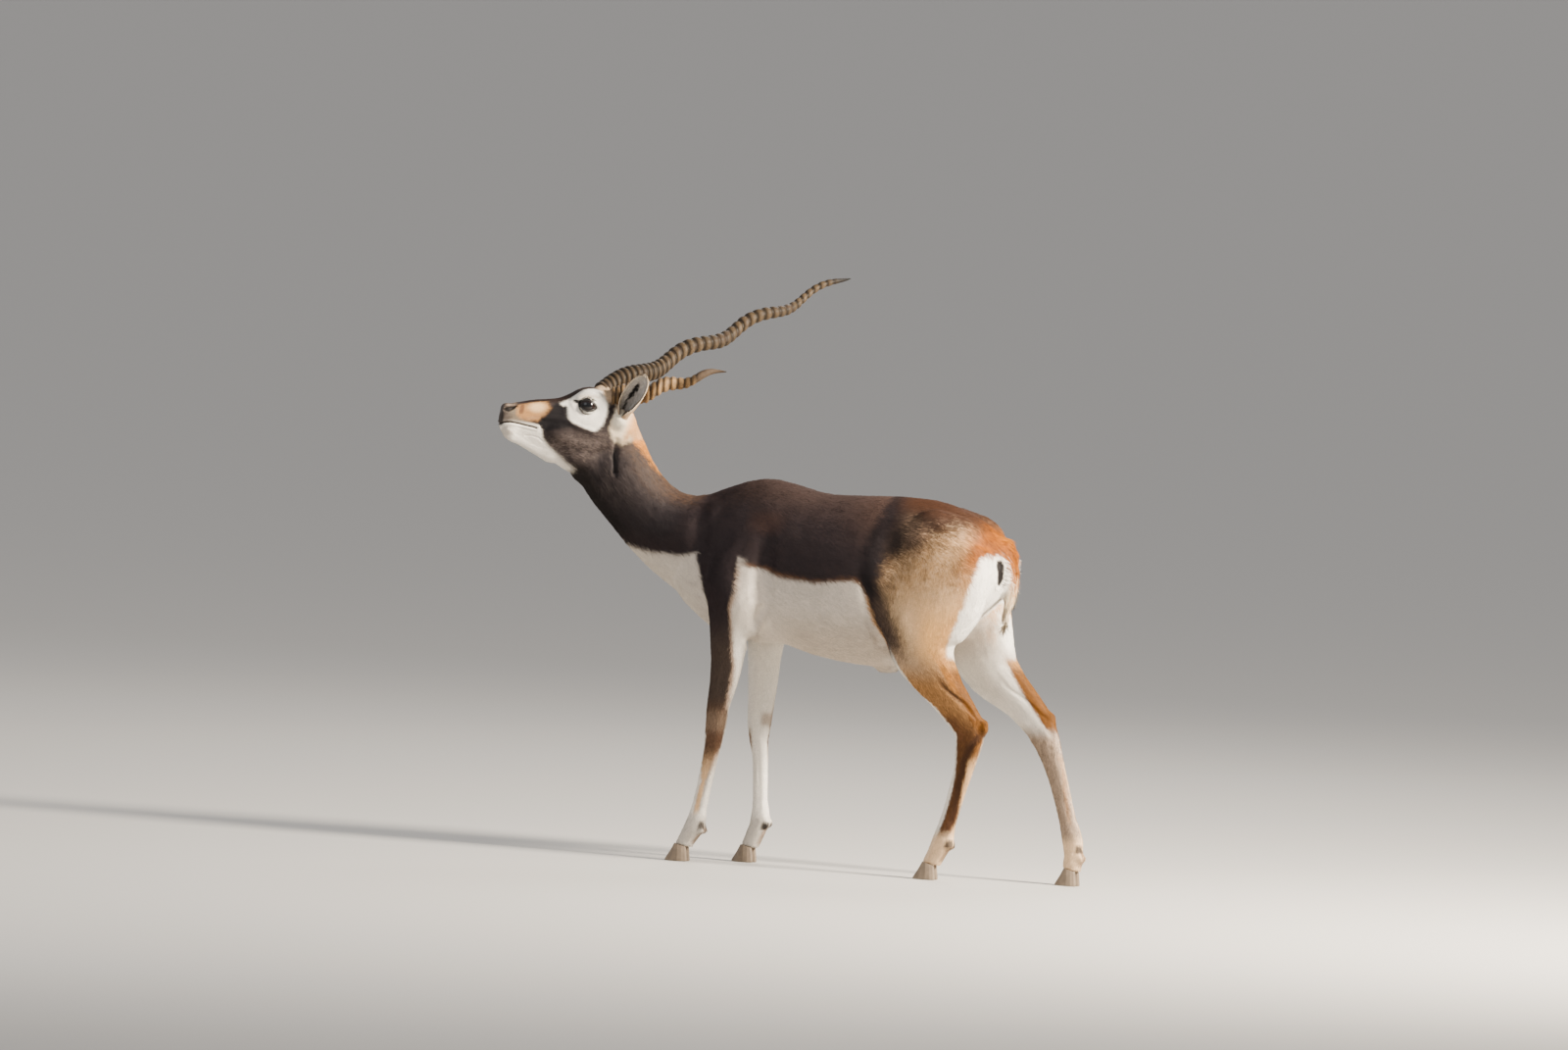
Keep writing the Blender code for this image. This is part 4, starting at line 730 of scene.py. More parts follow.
def mesh_arrays(mesh):
    """Corner places, normals and edges of a mesh as arrays."""
    count = len(mesh.vertices)
    places = np.empty(count * 3, dtype=np.float32)
    normals = np.empty(count * 3, dtype=np.float32)
    edges = np.empty(len(mesh.edges) * 2, dtype=np.int32)
    mesh.vertices.foreach_get("co", places)
    mesh.vertices.foreach_get("normal", normals)
    mesh.edges.foreach_get("vertices", edges)
    return places.reshape(-1, 3).astype(float), normals.reshape(-1, 3).astype(float), edges.reshape(-1, 2)


def get_points(mesh):
    """Corner places in the frame in which the animal was measured, with normals and edges."""
    places, normals, edges = mesh_arrays(mesh)
    return places - SHIFT, normals, edges


def put_points(mesh, points):
    """Move a mesh's corners to places given in the frame in which the animal was measured."""
    mesh.vertices.foreach_set("co", (points + SHIFT).astype(np.float32).ravel())
    mesh.update()


def set_vector(mesh, name, values):
    """Store one vector for each corner point."""
    layer = mesh.attributes.new(name, "FLOAT_VECTOR", "POINT")
    layer.data.foreach_set("vector", np.asarray(values, dtype=np.float32).ravel())


def set_colour(mesh, name, colours):
    """Store one colour for each corner point."""
    layer = mesh.color_attributes.new(name, "FLOAT_COLOR", "POINT")
    full = np.ones((len(colours), 4), dtype=np.float32)
    full[:, :3] = colours
    layer.data.foreach_set("color", full.ravel())


def melt_nodes(names, voxel, grow):
    """One surface over several solids, grown a little so that the gaps between them close."""
    bm = bmesh.new()
    for name in names:
        bm.from_mesh(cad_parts[name].data)
    mesh = bm_to_mesh(bm, bpy.data.meshes.new("melt"))
    places, normals, _ = mesh_arrays(mesh)
    mesh.vertices.foreach_set("co", (places + normals * grow).astype(np.float32).ravel())
    obj = link_object("melt", mesh)
    modifier = obj.modifiers.new("Melt", "REMESH")
    modifier.mode = "VOXEL"
    modifier.voxel_size = voxel
    depsgraph = bpy.context.evaluated_depsgraph_get()
    depsgraph.update()
    result = bpy.data.meshes.new_from_object(obj.evaluated_get(depsgraph))
    bpy.data.objects.remove(obj, do_unlink=True)
    return result


def even_out(places, edges, weight, times):
    """Smooth without shrinking: each pull inwards is followed by a push back."""
    count = len(places)
    links = np.bincount(edges.ravel(), minlength=count)[:, None]
    for turn in range(times * 2):
        total = np.empty_like(places)
        for axis in range(3):
            total[:, axis] = np.bincount(edges[:, 0], places[edges[:, 1], axis], count)
            total[:, axis] += np.bincount(edges[:, 1], places[edges[:, 0], axis], count)
        pull = 0.62 if turn % 2 == 0 else -0.6
        places = places + (total / links - places) * (weight * pull)[:, None]
    return places


def refine(mesh, chosen):
    """Split the faces whose corners are all chosen into four."""
    bm = bmesh.new()
    bm.from_mesh(mesh)
    edges = [edge for edge in bm.edges if chosen[edge.verts[0].index] and chosen[edge.verts[1].index]]
    bmesh.ops.subdivide_edges(bm, edges=edges, cuts=1, use_grid_fill=True)
    bm_to_mesh(bm, mesh)


def carve_head(points, normals, located):
    """Cut the mouth, the nostrils and the slit before the eye, and swell the lips round them."""
    u, v = seen(to_left(points, located))
    weight = ramp(located[0][HEAD], 0.4, 0.6)
    mouth = line_gap(u, v, MOUTH_LINE) * PICTURE_STEP
    move = 0.0011 * near(mouth, 0.004, 0.0036, 0.0004) - 0.003 * ramp(mouth, 0.0019, 0.0002)
    hole = inside(u, v, NOSTRIL, 1.0)
    rim = inside(u, v, NOSTRIL, 3.2) - hole
    move += 0.0012 * np.clip(rim, 0, 1) - 0.005 * hole
    for line, height, wide, close in (GLAND_SLIT, LIP_FOLD, JAW_EDGE, CHEEK_BONE):
        move += height * ramp(line_gap(u, v, line) * PICTURE_STEP, wide, close)
    right, up = picture_axes()
    under = ramp(normals @ (-0.56 * right - 0.83 * up), 0.25, 0.85)
    move += 0.0065 * ramp(line_gap(u, v, JAW_LINE), 15, 2) * under
    crease = line_gap(u, v, CREASE) * PICTURE_STEP
    move -= 0.0045 * ramp(crease, 0.009, 0.0)
    folded = located[0][HEAD] + located[0][NECK]
    weight = np.maximum(weight, ramp(crease, 0.012, 0.01) * ramp(folded, 0.5, 0.8))
    return points + normals * (move * weight)[:, None]


def carve_limbs(points, normals, located):
    """The grooves between bone and tendon on the legs, and the folds of elbow and flank."""
    move = np.zeros(len(points))
    z = points[:, 2]
    for name in LEGS:
        weight = ramp(located[0][PARTS.index(name)], 0.4, 0.7)
        back = behind(points, name)
        if name.startswith("hind"):
            deep = 0.0026 * ramp(np.abs(back - at_height(HIND_LINE, z) + 0.001), 0.009, 0.001)
            deep *= ramp(z, 0.4, 0.36)
            deep *= 0.5 + 0.5 * ramp(z, 0.24, 0.29)
            bone = 0.0012 * near(back, -0.012, 0.012, 0.002) * near(z, 0.29, 0.03, 0.01)
        else:
            deep = 0.0015 * near(back, 0.0035, 0.0055, 0.001) * ramp(z, 0.235, 0.215)
            deep += 0.0018 * near(back, 0.006, 0.01, 0.002) * ramp(z, 0.3, 0.33) * ramp(z, 0.4, 0.37)
            bone = 0.001 * near(back, -0.004, 0.012, 0.003) * near(z, 0.258, 0.022, 0.008)
        across = np.abs(normals[:, 1])
        inner = 0.45 + 0.55 * (normals[:, 1] * points[:, 1] > 0)
        move += (bone - deep * ramp(across, 0.45, 0.85) * inner) * weight * ramp(z, 0.085, 0.11)
    u, v = seen_body(points)
    trunk = ramp(located[0][TRUNK] + located[0][PARTS.index("fore_left")]
                 + located[0][PARTS.index("fore_right")], 0.5, 0.8)
    elbow = line_gap(u, v, ELBOW_FOLD) * PICTURE_STEP
    flank = line_gap(u, v, FLANK_FOLD) * PICTURE_STEP
    move -= (0.004 * ramp(elbow, 0.013, 0.001) + 0.003 * ramp(flank, 0.016, 0.001)) * trunk
    move -= 0.006 * inside(u, v, TAIL_GAP, 2.5) * ramp(points[:, 0], 0.17, 0.19)
    move += 0.0062 * patch(u, v, (926, 546), (24, 29), 1.1, 0.0) * ramp(np.abs(normals[:, 1]), 0.2, 0.5)
    return points + normals * move[:, None]


def shape_lids(points):
    """Open the skin over each eye and fold lids round it."""
    for side in (LEFT, RIGHT):
        centre = eye_frame(side)[0]
        local = points - centre
        reach = lid_reach(points, side)
        lid = EYE_RADIUS + 0.0009 + 0.0016 * ramp(reach, 1.0, 1.25) - 0.001 * near(reach, 1.55, 0.16, 0)
        goal = np.where(reach < 1, EYE_RADIUS - 0.002, lid)
        share = ramp(reach, 1.95, 1.45)
        scale = 1 + (goal / np.linalg.norm(local, axis=1) - 1) * share
        points = centre + local * scale[:, None]
    return points


def strokes(points, normals):
    """Raise or lower soft round places: brow, nose, seat, tail root and tail tip."""
    rows = [(head_place(0.004, side * 0.04, 0.824), (0.022, 0.02, 0.02), 0.005) for side in (LEFT, RIGHT)]
    rows += [(head_place(0.214, side * 0.009, 0.844), (0.016, 0.012, 0.009), 0.0034)
             for side in (LEFT, RIGHT)]
    rows += [((0.268, 0, 0.65), (0.022, 0.024, 0.018), -0.006),
             ((0.246, 0, 0.668), (0.04, 0.05, 0.03), -0.004),
             ((0.262, 0, 0.458), (0.022, 0.022, 0.018), -0.0055)]
    move = np.zeros(len(points))
    for centre, radii, height in rows:
        distance = np.sum(((points - np.array(centre)) / np.array(radii)) ** 2, axis=1)
        move += height * np.clip(1 - distance, 0, None) ** 2
    return points + normals * move[:, None]


def make_skin(material):
    """The skin under the coat, one surface from nose to hooves, finest on the face."""
    mesh = melt_nodes(FLESH, SKIN_VOXEL, 0.0004)
    points, _, edges = get_points(mesh)
    weights = locate(points)[0]
    on_head = weights[HEAD] * ramp(ahead_of(points), -0.02, 0.02)
    low = ramp(points[:, 2], 0.42, 0.34) * sum(weights[PARTS.index(name)] for name in LEGS)
    points = even_out(points, edges, np.clip(1 - on_head, 0, 1) * (1 - 0.5 * low), 14)
    put_points(mesh, even_out(points, edges, np.ones(len(points)), 2))
    eyes = [eye_frame(side)[0] for side in (LEFT, RIGHT)]
    for turn in range(2):
        points = get_points(mesh)[0]
        ahead = ahead_of(points)
        near_eye = np.min([np.linalg.norm(points - eye, axis=1) for eye in eyes], axis=0) < 0.034
        refine(mesh, (ahead > -0.012) & (points[:, 2] > 0.7) if turn == 0 else (ahead > 0.148) | near_eye)
        points, _, edges = get_points(mesh)
        share = ramp(ahead_of(points), -0.02, 0.0) * ramp(points[:, 2], 0.69, 0.71)
        points = even_out(points, edges, share, 2)
        put_points(mesh, points)
    normals = get_points(mesh)[1]
    located = locate(points)
    points = points - normals * (coat_depth(points, located) + 0.0004)[:, None]
    points = carve_head(points, normals, located)
    points = carve_limbs(points, normals, located)
    points = shape_lids(strokes(points, normals))
    put_points(mesh, points)
    set_colour(mesh, "mark", coat_colour(points, located))
    set_vector(mesh, "lie", coat_flow(points, get_points(mesh)[1], located))
    return add_skin_piece("skin", mesh, material, FLESH)


def tube_mesh(name, loops, closed):
    """A closed body over loops of equal size: a ring of loops, or a run of loops with its ends shut."""
    rows, size = len(loops), len(loops[0])
    places = np.vstack([np.asarray(loop) for loop in loops])
    index = np.arange(rows * size).reshape(rows, size)
    after = np.roll(index, -1, axis=0) if closed else index[1:]
    before = index if closed else index[:-1]
    quads = np.stack([before, np.roll(before, -1, axis=1), np.roll(after, -1, axis=1), after],
                     axis=-1).reshape(-1, 4)
    bm = bmesh.new()
    verts = [bm.verts.new(place) for place in places]
    for quad in quads:
        bm.faces.new([verts[corner] for corner in quad])
    if not closed:
        bm.faces.new([verts[corner] for corner in index[0][::-1]])
        bm.faces.new([verts[corner] for corner in index[-1]])
    bmesh.ops.recalc_face_normals(bm, faces=bm.faces)
    return bm_to_mesh(bm, bpy.data.meshes.new(name))


def make_lid_rims(material):
    """A dark wet rim along the edge of the lids."""
    for side, name in SIDES:
        centre, along, look, up = eye_frame(side)
        spots = []
        for turn in np.linspace(0, 2 * math.pi, RIM_LOOPS, endpoint=False):
            x, rise = math.cos(turn), math.sin(turn)
            y = math.copysign(abs(rise) ** (2 / 1.3), rise)
            flat = along * x * LID_HALF_LENGTH * 0.98 + up * y * LID_HALF_HEIGHT * 1.02
            flat *= min(1.0, (EYE_RADIUS - 0.0004) / np.linalg.norm(flat))
            out = math.sqrt((EYE_RADIUS + 0.0006) ** 2 - flat @ flat)
            spots.append(centre + flat + look * out)
        loops = []
        for index, spot in enumerate(spots):
            run = unit(spots[(index + 1) % RIM_LOOPS] - spots[index - 1])
            outward = unit(spot - centre)
            across = np.cross(run, outward)
            wide = 0.0021 if (spot - centre) @ up < 0 else 0.0018
            ring = np.linspace(0, 2 * math.pi, 10, endpoint=False)
            loops.append([spot + SHIFT + outward * math.sin(a) * 0.001 + across * math.cos(a) * wide
                          for a in ring])
        mesh = tube_mesh("lid_rim_" + name, loops, True)
        mesh.shade_smooth()
        mesh.materials.append(material)
        add_piece("lid_rim_" + name, mesh)


def make_eyes(material):
    """A round wet eyeball in place of each solid eye."""
    for side, name in SIDES:
        centre, along, look, up = eye_frame(side)
        bm = bmesh.new()
        bmesh.ops.create_uvsphere(bm, u_segments=64, v_segments=40, radius=EYE_RADIUS)
        turn = Matrix((Vector(along), Vector(up), Vector(look))).transposed().to_4x4()
        bmesh.ops.transform(bm, matrix=Matrix.Translation(Vector(centre + SHIFT)) @ turn, verts=bm.verts)
        mesh = bm_to_mesh(bm, bpy.data.meshes.new("eyeball_" + name))
        local = get_points(mesh)[0] - centre
        around = np.hypot(local @ along, local @ up) / EYE_RADIUS
        colours = plain((0.007, 0.004, 0.004), local)
        colours = paint(colours, (0.014, 0.007, 0.005), ramp(around, 0.45, 0.62)
                        * ramp(local @ up, -0.004, 0.006))
        pupil = np.hypot(local @ along / 0.0092, local @ up / 0.0056)
        colours = paint(colours, (0.003, 0.003, 0.004), ramp(pupil, 1.1, 0.9))
        colours = paint(colours, (0.03, 0.02, 0.017), ramp(around, 0.78, 0.84) * (local @ look > 0))
        set_colour(mesh, "mark", colours)
        add_skin_piece("eyeball_" + name, mesh, material, ["eye_" + name])


def ear_surface(side, lean, t, a):
    """A place on the middle of an ear's shell: t from root to tip, a from its front to its rear edge."""
    root = head_place(-0.002, side * 0.0405, 0.836)
    tip = head_place(-0.03 - lean, side * (0.1 - lean * 0.4), 0.917 - lean)
    length = np.linalg.norm(tip - root)
    run = (tip - root) / length
    opening = HEAD_RIGHT * side * 0.75 + FACING * 0.62 - UP * 0.12
    opening = unit(opening - run * (opening @ run))
    across = np.cross(run, opening)
    ahead = across if across @ FACING > 0 else -across
    stops = [0.0, 0.1, 0.25, 0.43, 0.62, 0.79, 0.91, 1.0]
    radius = curve(stops, [0.01, 0.0128, 0.0168, 0.0192, 0.0192, 0.0164, 0.011, 0.002], t)
    spread = np.radians(curve(stops, [165, 150, 120, 100, 86, 76, 66, 60], t))
    shift = curve(stops, [0.0, 0.002, 0.003, 0.003, 0.002, 0.001, 0, 0], t)
    angle = spread * a
    deep = radius * 0.84 * (1 + 0.2 * np.exp(-(a / 0.22) ** 2) * ramp(t, 0.85, 0.5))
    place = root + run * (t * length)[..., None] + ahead * shift[..., None]
    place = place - ahead * (np.sin(angle) * radius)[..., None] - opening * (np.cos(angle) * deep)[..., None]
    inward = ahead * np.sin(angle)[..., None] + opening * np.cos(angle)[..., None]
    return place, inward, np.broadcast_to(run, place.shape)


def cleft_gap(t, a):
    """How far places on an ear lie from the line of its dark cleft."""
    return np.abs(a + 0.24 + 0.14 * t + 0.05 * np.sin(t * 9))


def ear_colours(t, a, within, points):
    """Grey inside, partly painted shade on pale hair, with a cleft of painted shade, tan behind, and a pale
    edge.
    """
    fine = noise(points, 420, 31)
    colours = plain((0.4, 0.275, 0.17), t)
    # Partly painted shade: the inside of the ear is grey, darker than its pale hair.
    colours = paint(colours, (0.42, 0.38, 0.345), within)
    colours = paint(colours, (0.64, 0.59, 0.535), within * ramp(fine, 0.45, 0.9) * 0.7)
    cleft = cleft_gap(t, a) - 0.03 - 0.08 * ramp(t, 0.2, 0.5) * ramp(t, 0.74, 0.55)
    cleft = cleft + (noise(points, 240, 32) - 0.5) * 0.16
    # Painted shade: near-black in the cleft inside the ear.
    colours = paint(colours, (0.008, 0.006, 0.006), within * ramp(cleft, 0.09, 0.0) * ramp(t, 0.74, 0.66))
    edge = np.maximum(ramp(np.abs(a), 0.88, 0.96), ramp(t, 0.95, 0.98))
    return paint(colours, (0.7, 0.58, 0.44), edge * ramp(t, 0.05, 0.2))


def make_ears(material):
    """Each ear as a thin cupped leaf, closed round its edge."""
    ears = []
    for side, name, lean in ((LEFT, "left", 0.0), (RIGHT, "right", 0.012)):
        rows, count = 46, 40
        t = np.repeat(np.linspace(-0.02, 1.0, rows), count * 2).reshape(rows, count * 2)
        steps = np.linspace(-1, 1, count)
        a = np.tile(np.concatenate([steps, steps[::-1]]), (rows, 1))
        within = np.tile(np.concatenate([np.ones(count), np.zeros(count)]), (rows, 1))
        place, inward, run = ear_surface(side, lean, np.clip(t, 0, 1), a)
        half = 0.0009 * (1 - 0.6 * np.abs(a) ** 4) * (1 - 0.5 * np.clip(t, 0, 1))
        place = place + inward * (half * np.where(within > 0, 1, -1))[..., None]
        place = place + run * np.minimum(t, 0)[..., None]
        mesh = tube_mesh("ear_skin_" + name, list(place + SHIFT), False)
        flat = place.reshape(-1, 3)
        set_colour(mesh, "mark", ear_colours(t.ravel(), a.ravel(), within.ravel(), flat))
        set_vector(mesh, "lie", run.reshape(-1, 3))
        add_skin_piece("ear_skin_" + name, mesh, material, ["ear_" + name])
        ears.append((side, lean, name))
    return ears


def horn_shape(path, radii, pitch, ringed, turns, phase, swing, hand, pale, bare_tip):
    """Loops of a ringed, twisted horn that winds around a smooth line, with the colour of each point."""
    first, second, third, last = [np.array(point) for point in path]
    length = np.linalg.norm(last - first)
    run = (last - first) / length
    lift = unit(UP - run * (UP @ run))
    wide = np.cross(run, lift)
    t = np.linspace(0, 1, HORN_LOOPS)
    phase_of_ring = np.cumsum(length / (HORN_LOOPS - 1) / np.interp(t, *pitch))
    ring = phase_of_ring % 1.0
    crest = np.clip(np.sin(np.pi * np.clip(ring / 0.74, 0, 1)), 0, 1) ** 0.55
    fade = ramp(t, ringed + 0.05, ringed - 0.03)
    angle = 2 * math.pi * t * turns + phase
    s = t[:, None]
    centre = (first * (1 - s) ** 3 + second * 3 * s * (1 - s) ** 2 + third * 3 * s * s * (1 - s)
              + last * s ** 3)
    turned = lift * np.cos(angle)[:, None] + wide * np.sin(angle)[:, None] * hand
    centre = centre + turned * swing * np.minimum(1.0, 0.7 + s * 2)
    radius = curve([row[0] for row in radii], [row[1] for row in radii], t)
    loops, colours = [], []
    around = np.linspace(0, 2 * math.pi, 44, endpoint=False)
    ripple = noise(np.stack([t * 40, t * 0, t * 0], axis=1), 1.0, 41)
    for index in range(HORN_LOOPS):
        high = min(0.0021, radius[index] * 0.16) * (0.65 + 0.7 * ripple[index])
        tilt = run * (np.cos(around - 0.6) * radius[index] * 0.3 * fade[index])[:, None]
        wave = 1 + 0.012 * np.sin(around * 9 + 20 * t[index])
        size = (radius[index] + (crest[index] - 0.62) * high * fade[index]) * wave
        offset = lift * (np.cos(around) * size)[:, None] + wide * (np.sin(around) * size)[:, None]
        loops.append(centre[index] + offset + tilt)
        # Painted shade: each ring's groove darker than its crest.
        bright = (crest[index] ** 1.3 * fade[index] * (0.8 + 0.35 * ripple[index])
                  * (0.74 + 0.26 * np.cos(around - angle[index] * hand - 2.2)))[:, None]
        smooth = 1 - fade[index]
        base = np.array(pale) * (0.2 + 0.8 * bright) * (0.72 + 0.28 * ramp(t[index:index + 1], 0.1, 0.3)[0])
        dark = np.array(bare_tip) * (1 - 0.45 * ramp(t[index:index + 1], 0.93, 1.0)[0])
        colours.append(base * (1 - smooth) + dark * smooth)
    points, colours = np.vstack(loops), np.vstack(colours)
    grain = noise(points, 260, 42) * 0.5 + noise(points, 900, 43) * 0.5
    colours = colours * (0.66 + 0.68 * grain)[:, None]
    colours = paint(colours, (0.04, 0.026, 0.018), ramp(noise(points, 75, 44), 0.6, 0.85) * 0.5)
    return loops, colours


def make_horns(material):
    """One long horn on the right and one that stayed short on the left."""
    long_path = (head_place(0.033, 0.0185, 0.8785), head_place(-0.1333, 0.0862, 0.955),
                 head_place(-0.3033, 0.1573, 1.0269), head_place(-0.471, 0.228, 1.109))
    long_radii = [(0, 0.0186), (0.2, 0.0166), (0.3, 0.0156), (0.42, 0.0132), (0.54, 0.0134), (0.65, 0.0115),
                  (0.76, 0.0092), (0.86, 0.0071), (0.93, 0.0056), (0.97, 0.0036), (1.0, 0.0008)]
    short_path = (head_place(0.018, -0.0185, 0.874), head_place(-0.0407, -0.0288, 0.8732),
                  head_place(-0.11, -0.0493, 0.9112), head_place(-0.19, -0.08, 0.9336))
    short_radii = [(0, 0.0177), (0.35, 0.0163), (0.5, 0.0144), (0.62, 0.011), (0.72, 0.0093), (0.84, 0.0075),
                   (0.92, 0.0044), (1.0, 0.0008)]
    long_pitch = ([0, 0.2, 0.36, 0.6, 1], [0.0103, 0.012, 0.0165, 0.0165, 0.014])
    short_pitch = ([0, 0.4, 0.7, 1], [0.0115, 0.0135, 0.0125, 0.01])
    rows = (("right", long_path, long_radii, long_pitch, 0.93, 3.72, -2.26, 0.007, 1,
             (0.085, 0.056, 0.03), (0.01, 0.008, 0.007)),
            ("left", short_path, short_radii, short_pitch, 0.76, 2.78, -2.74, 0.0044, -1,
             (0.3, 0.178, 0.078), (0.075, 0.05, 0.032)))
    for name, *shape in rows:
        loops, colours = horn_shape(*shape)
        mesh = tube_mesh("ringed_horn_" + name, [loop + SHIFT for loop in loops], False)
        set_colour(mesh, "mark", colours)
        add_skin_piece("ringed_horn_" + name, mesh, material, ["horn_" + name])


def hair_size(points, located):
    """Length, width and number to the square metre of the tufts at each point."""
    weights = located[0]
    table = np.array([HAIR[name] for name in PARTS])
    length, width, number = (table[:, column] @ weights for column in range(3))
    ahead = ahead_of(points)
    on_head = weights[HEAD]
    muzzle = ramp(ahead, 0.1, 0.2) * ramp(on_head, 0.5, 0.8)
    length = length * (1 - 0.45 * muzzle)
    width = width * (1 - 0.25 * muzzle)
    low = ramp(points[:, 2], 0.34, 0.12)
    length = length * (1 - 0.25 * low)
    rear = ramp(points[:, 0], 0.16, 0.22) * ramp(np.abs(points[:, 1]), 0.09, 0.05)
    rear *= ramp(points[:, 2], 0.4, 0.46)
    length = length * (1 + 0.5 * rear)
    return length, width, number


def bare(points, located):
    """Where no hair grows: the eyes, the nose pad, the nostrils, the line of the mouth and the hooves."""
    u, v = seen(to_left(points, located))
    on_head = located[0][HEAD] > 0.5
    eye = np.minimum(lid_reach(points, LEFT), lid_reach(points, RIGHT)) < 1.12
    pad = (u + np.abs(v - 425) * 0.25 < 517.5) & (v < 431.5) & (v > 411)
    hole = inside(u, v, NOSTRIL, 0.8) > 0.2
    mouth = line_gap(u, v, MOUTH_LINE) < 0.8
    u, v = seen_body(points)
    # Left bare, so that the painted shade in the gap beside the tail shows.
    gap = (inside(u, v, TAIL_GAP, 1.2) + inside(u + 3, v + 4, TAIL_GAP, 1.2) > 0.5) & (points[:, 0] > 0.18)
    return eye | (on_head & (pad | hole | mouth)) | (points[:, 2] < 0.031) | gap


def scatter(mesh, rng):
    """Random places on a skin, with their normals, as many as the coat there needs."""
    mesh.calc_loop_triangles()
    places, normals, _ = mesh_arrays(mesh)
    corners = np.empty(len(mesh.loop_triangles) * 3, dtype=np.int32)
    mesh.loop_triangles.foreach_get("vertices", corners)
    corners = corners.reshape(-1, 3)
    a, b, c = (places[corners[:, index]] for index in range(3))
    area = np.linalg.norm(np.cross(b - a, c - a), axis=1) / 2
    middle = (a + b + c) / 3 - SHIFT
    number = hair_size(middle, locate(middle))[2] * area
    index = np.repeat(np.arange(len(corners)), (number + rng.random(len(number))).astype(int))
    share = rng.random((len(index), 2))
    over = share.sum(axis=1) > 1
    share[over] = 1 - share[over]
    third = np.column_stack([1 - share.sum(axis=1), share])
    spot = sum(places[corners[index, k]] * third[:, k:k + 1] for k in range(3))
    normal = sum(normals[corners[index, k]] * third[:, k:k + 1] for k in range(3))
    return spot - SHIFT, unit_rows(normal)


def unwrap(points, located):
    """A place on a flat sheet for each point: by part, along the part and round it."""
    weights, places, runs, reaches = located
    part = weights.argmax(axis=0)
    column = np.arange(len(points))
    offset = points - places[part, column]
    run = runs[part, column]
    first = np.cross(run, (0.0, 1.0, 0.0))
    second = np.cross(run, first)
    angle = np.arctan2(dots(offset, second), dots(offset, first))
    totals = np.array([np.sum(np.linalg.norm(np.diff(np.array(AXES[name])[:, :3], axis=0), axis=1))
                       for name in PARTS])
    along = np.clip(reaches[part, column] / totals[part], 0, 1)
    return np.column_stack([(part % 4) * 0.25 + 0.01 + 0.22 * along,
                            (part // 4) * 0.33 + 0.01 + 0.3 * (angle / 6.2832 + 0.5)])


def turn_flow(flow, normals, angle):
    """Turn directions about the skin's normals."""
    side = np.cross(normals, flow)
    return flow * np.cos(angle)[:, None] + side * np.sin(angle)[:, None]


def grow(name, spots, normals, flow, colours, length, width, lift, sheet, material):
    """Tufts as closed spikes of four faces, in pieces of a fair size."""
    pieces = math.ceil(len(spots) / TUFTS_A_PIECE)
    for number, part in enumerate(np.array_split(np.arange(len(spots)), pieces)):
        spot, normal, lie, wide = spots[part], normals[part], flow[part], width[part][:, None]
        across = np.cross(lie, normal)
        root = spot - normal * 0.0007
        first, second = root + across * wide / 2, root - across * wide / 2
        top = spot + normal * wide * 0.32 - lie * wide * 0.3
        tip = spot + lie * length[part][:, None] + normal * lift[part][:, None]
        places = np.stack([first, second, top, tip], axis=1).reshape(-1, 3) + SHIFT
        base = np.arange(len(part))[:, None, None] * 4
        faces = (base + np.array([[0, 3, 2], [2, 3, 1], [1, 3, 0], [0, 2, 1]])).reshape(-1, 3)
        title = "coat_%s_%d" % (name, number + 1)
        mesh = new_mesh(title, places, faces)
        pale = ramp(colours[part].mean(axis=1), 0.35, 0.65)[:, None, None]
        # Painted shade: each tuft darker at its root; its tip a little lighter, as banded hair. Both less so
        # on pale coat.
        tone = np.array([0.8, 0.8, 0.92, 1.1])[:, None]
        tone = tone + (np.array([0.95, 0.95, 0.98, 1.02])[:, None] - tone) * pale
        set_colour(mesh, "mark", (colours[part][:, None, :] * tone).reshape(-1, 3))
        set_vector(mesh, "lie", np.repeat(lie, 4, axis=0))
        layer = mesh.uv_layers.new(name="OFBake")
        corner = np.array([[-0.0015, -0.0015], [0.0015, -0.0015], [0, 0], [0, 0.0015]])
        spread = (sheet[part][:, None, :] + corner).reshape(-1, 2)[faces.ravel()]
        layer.data.foreach_set("uv", spread.astype(np.float32).ravel())
        mesh.materials.append(material)
        mesh.shade_smooth()
        sideways = across * wide / np.maximum(wide, 1e-9) * 0.35
        bent = np.stack([normal + sideways, normal - sideways, normal, normal + lie * 0.25],
                        axis=1).reshape(-1, 3)
        mesh.normals_split_custom_set_from_vertices(unit_rows(bent))
        add_piece(title, mesh)


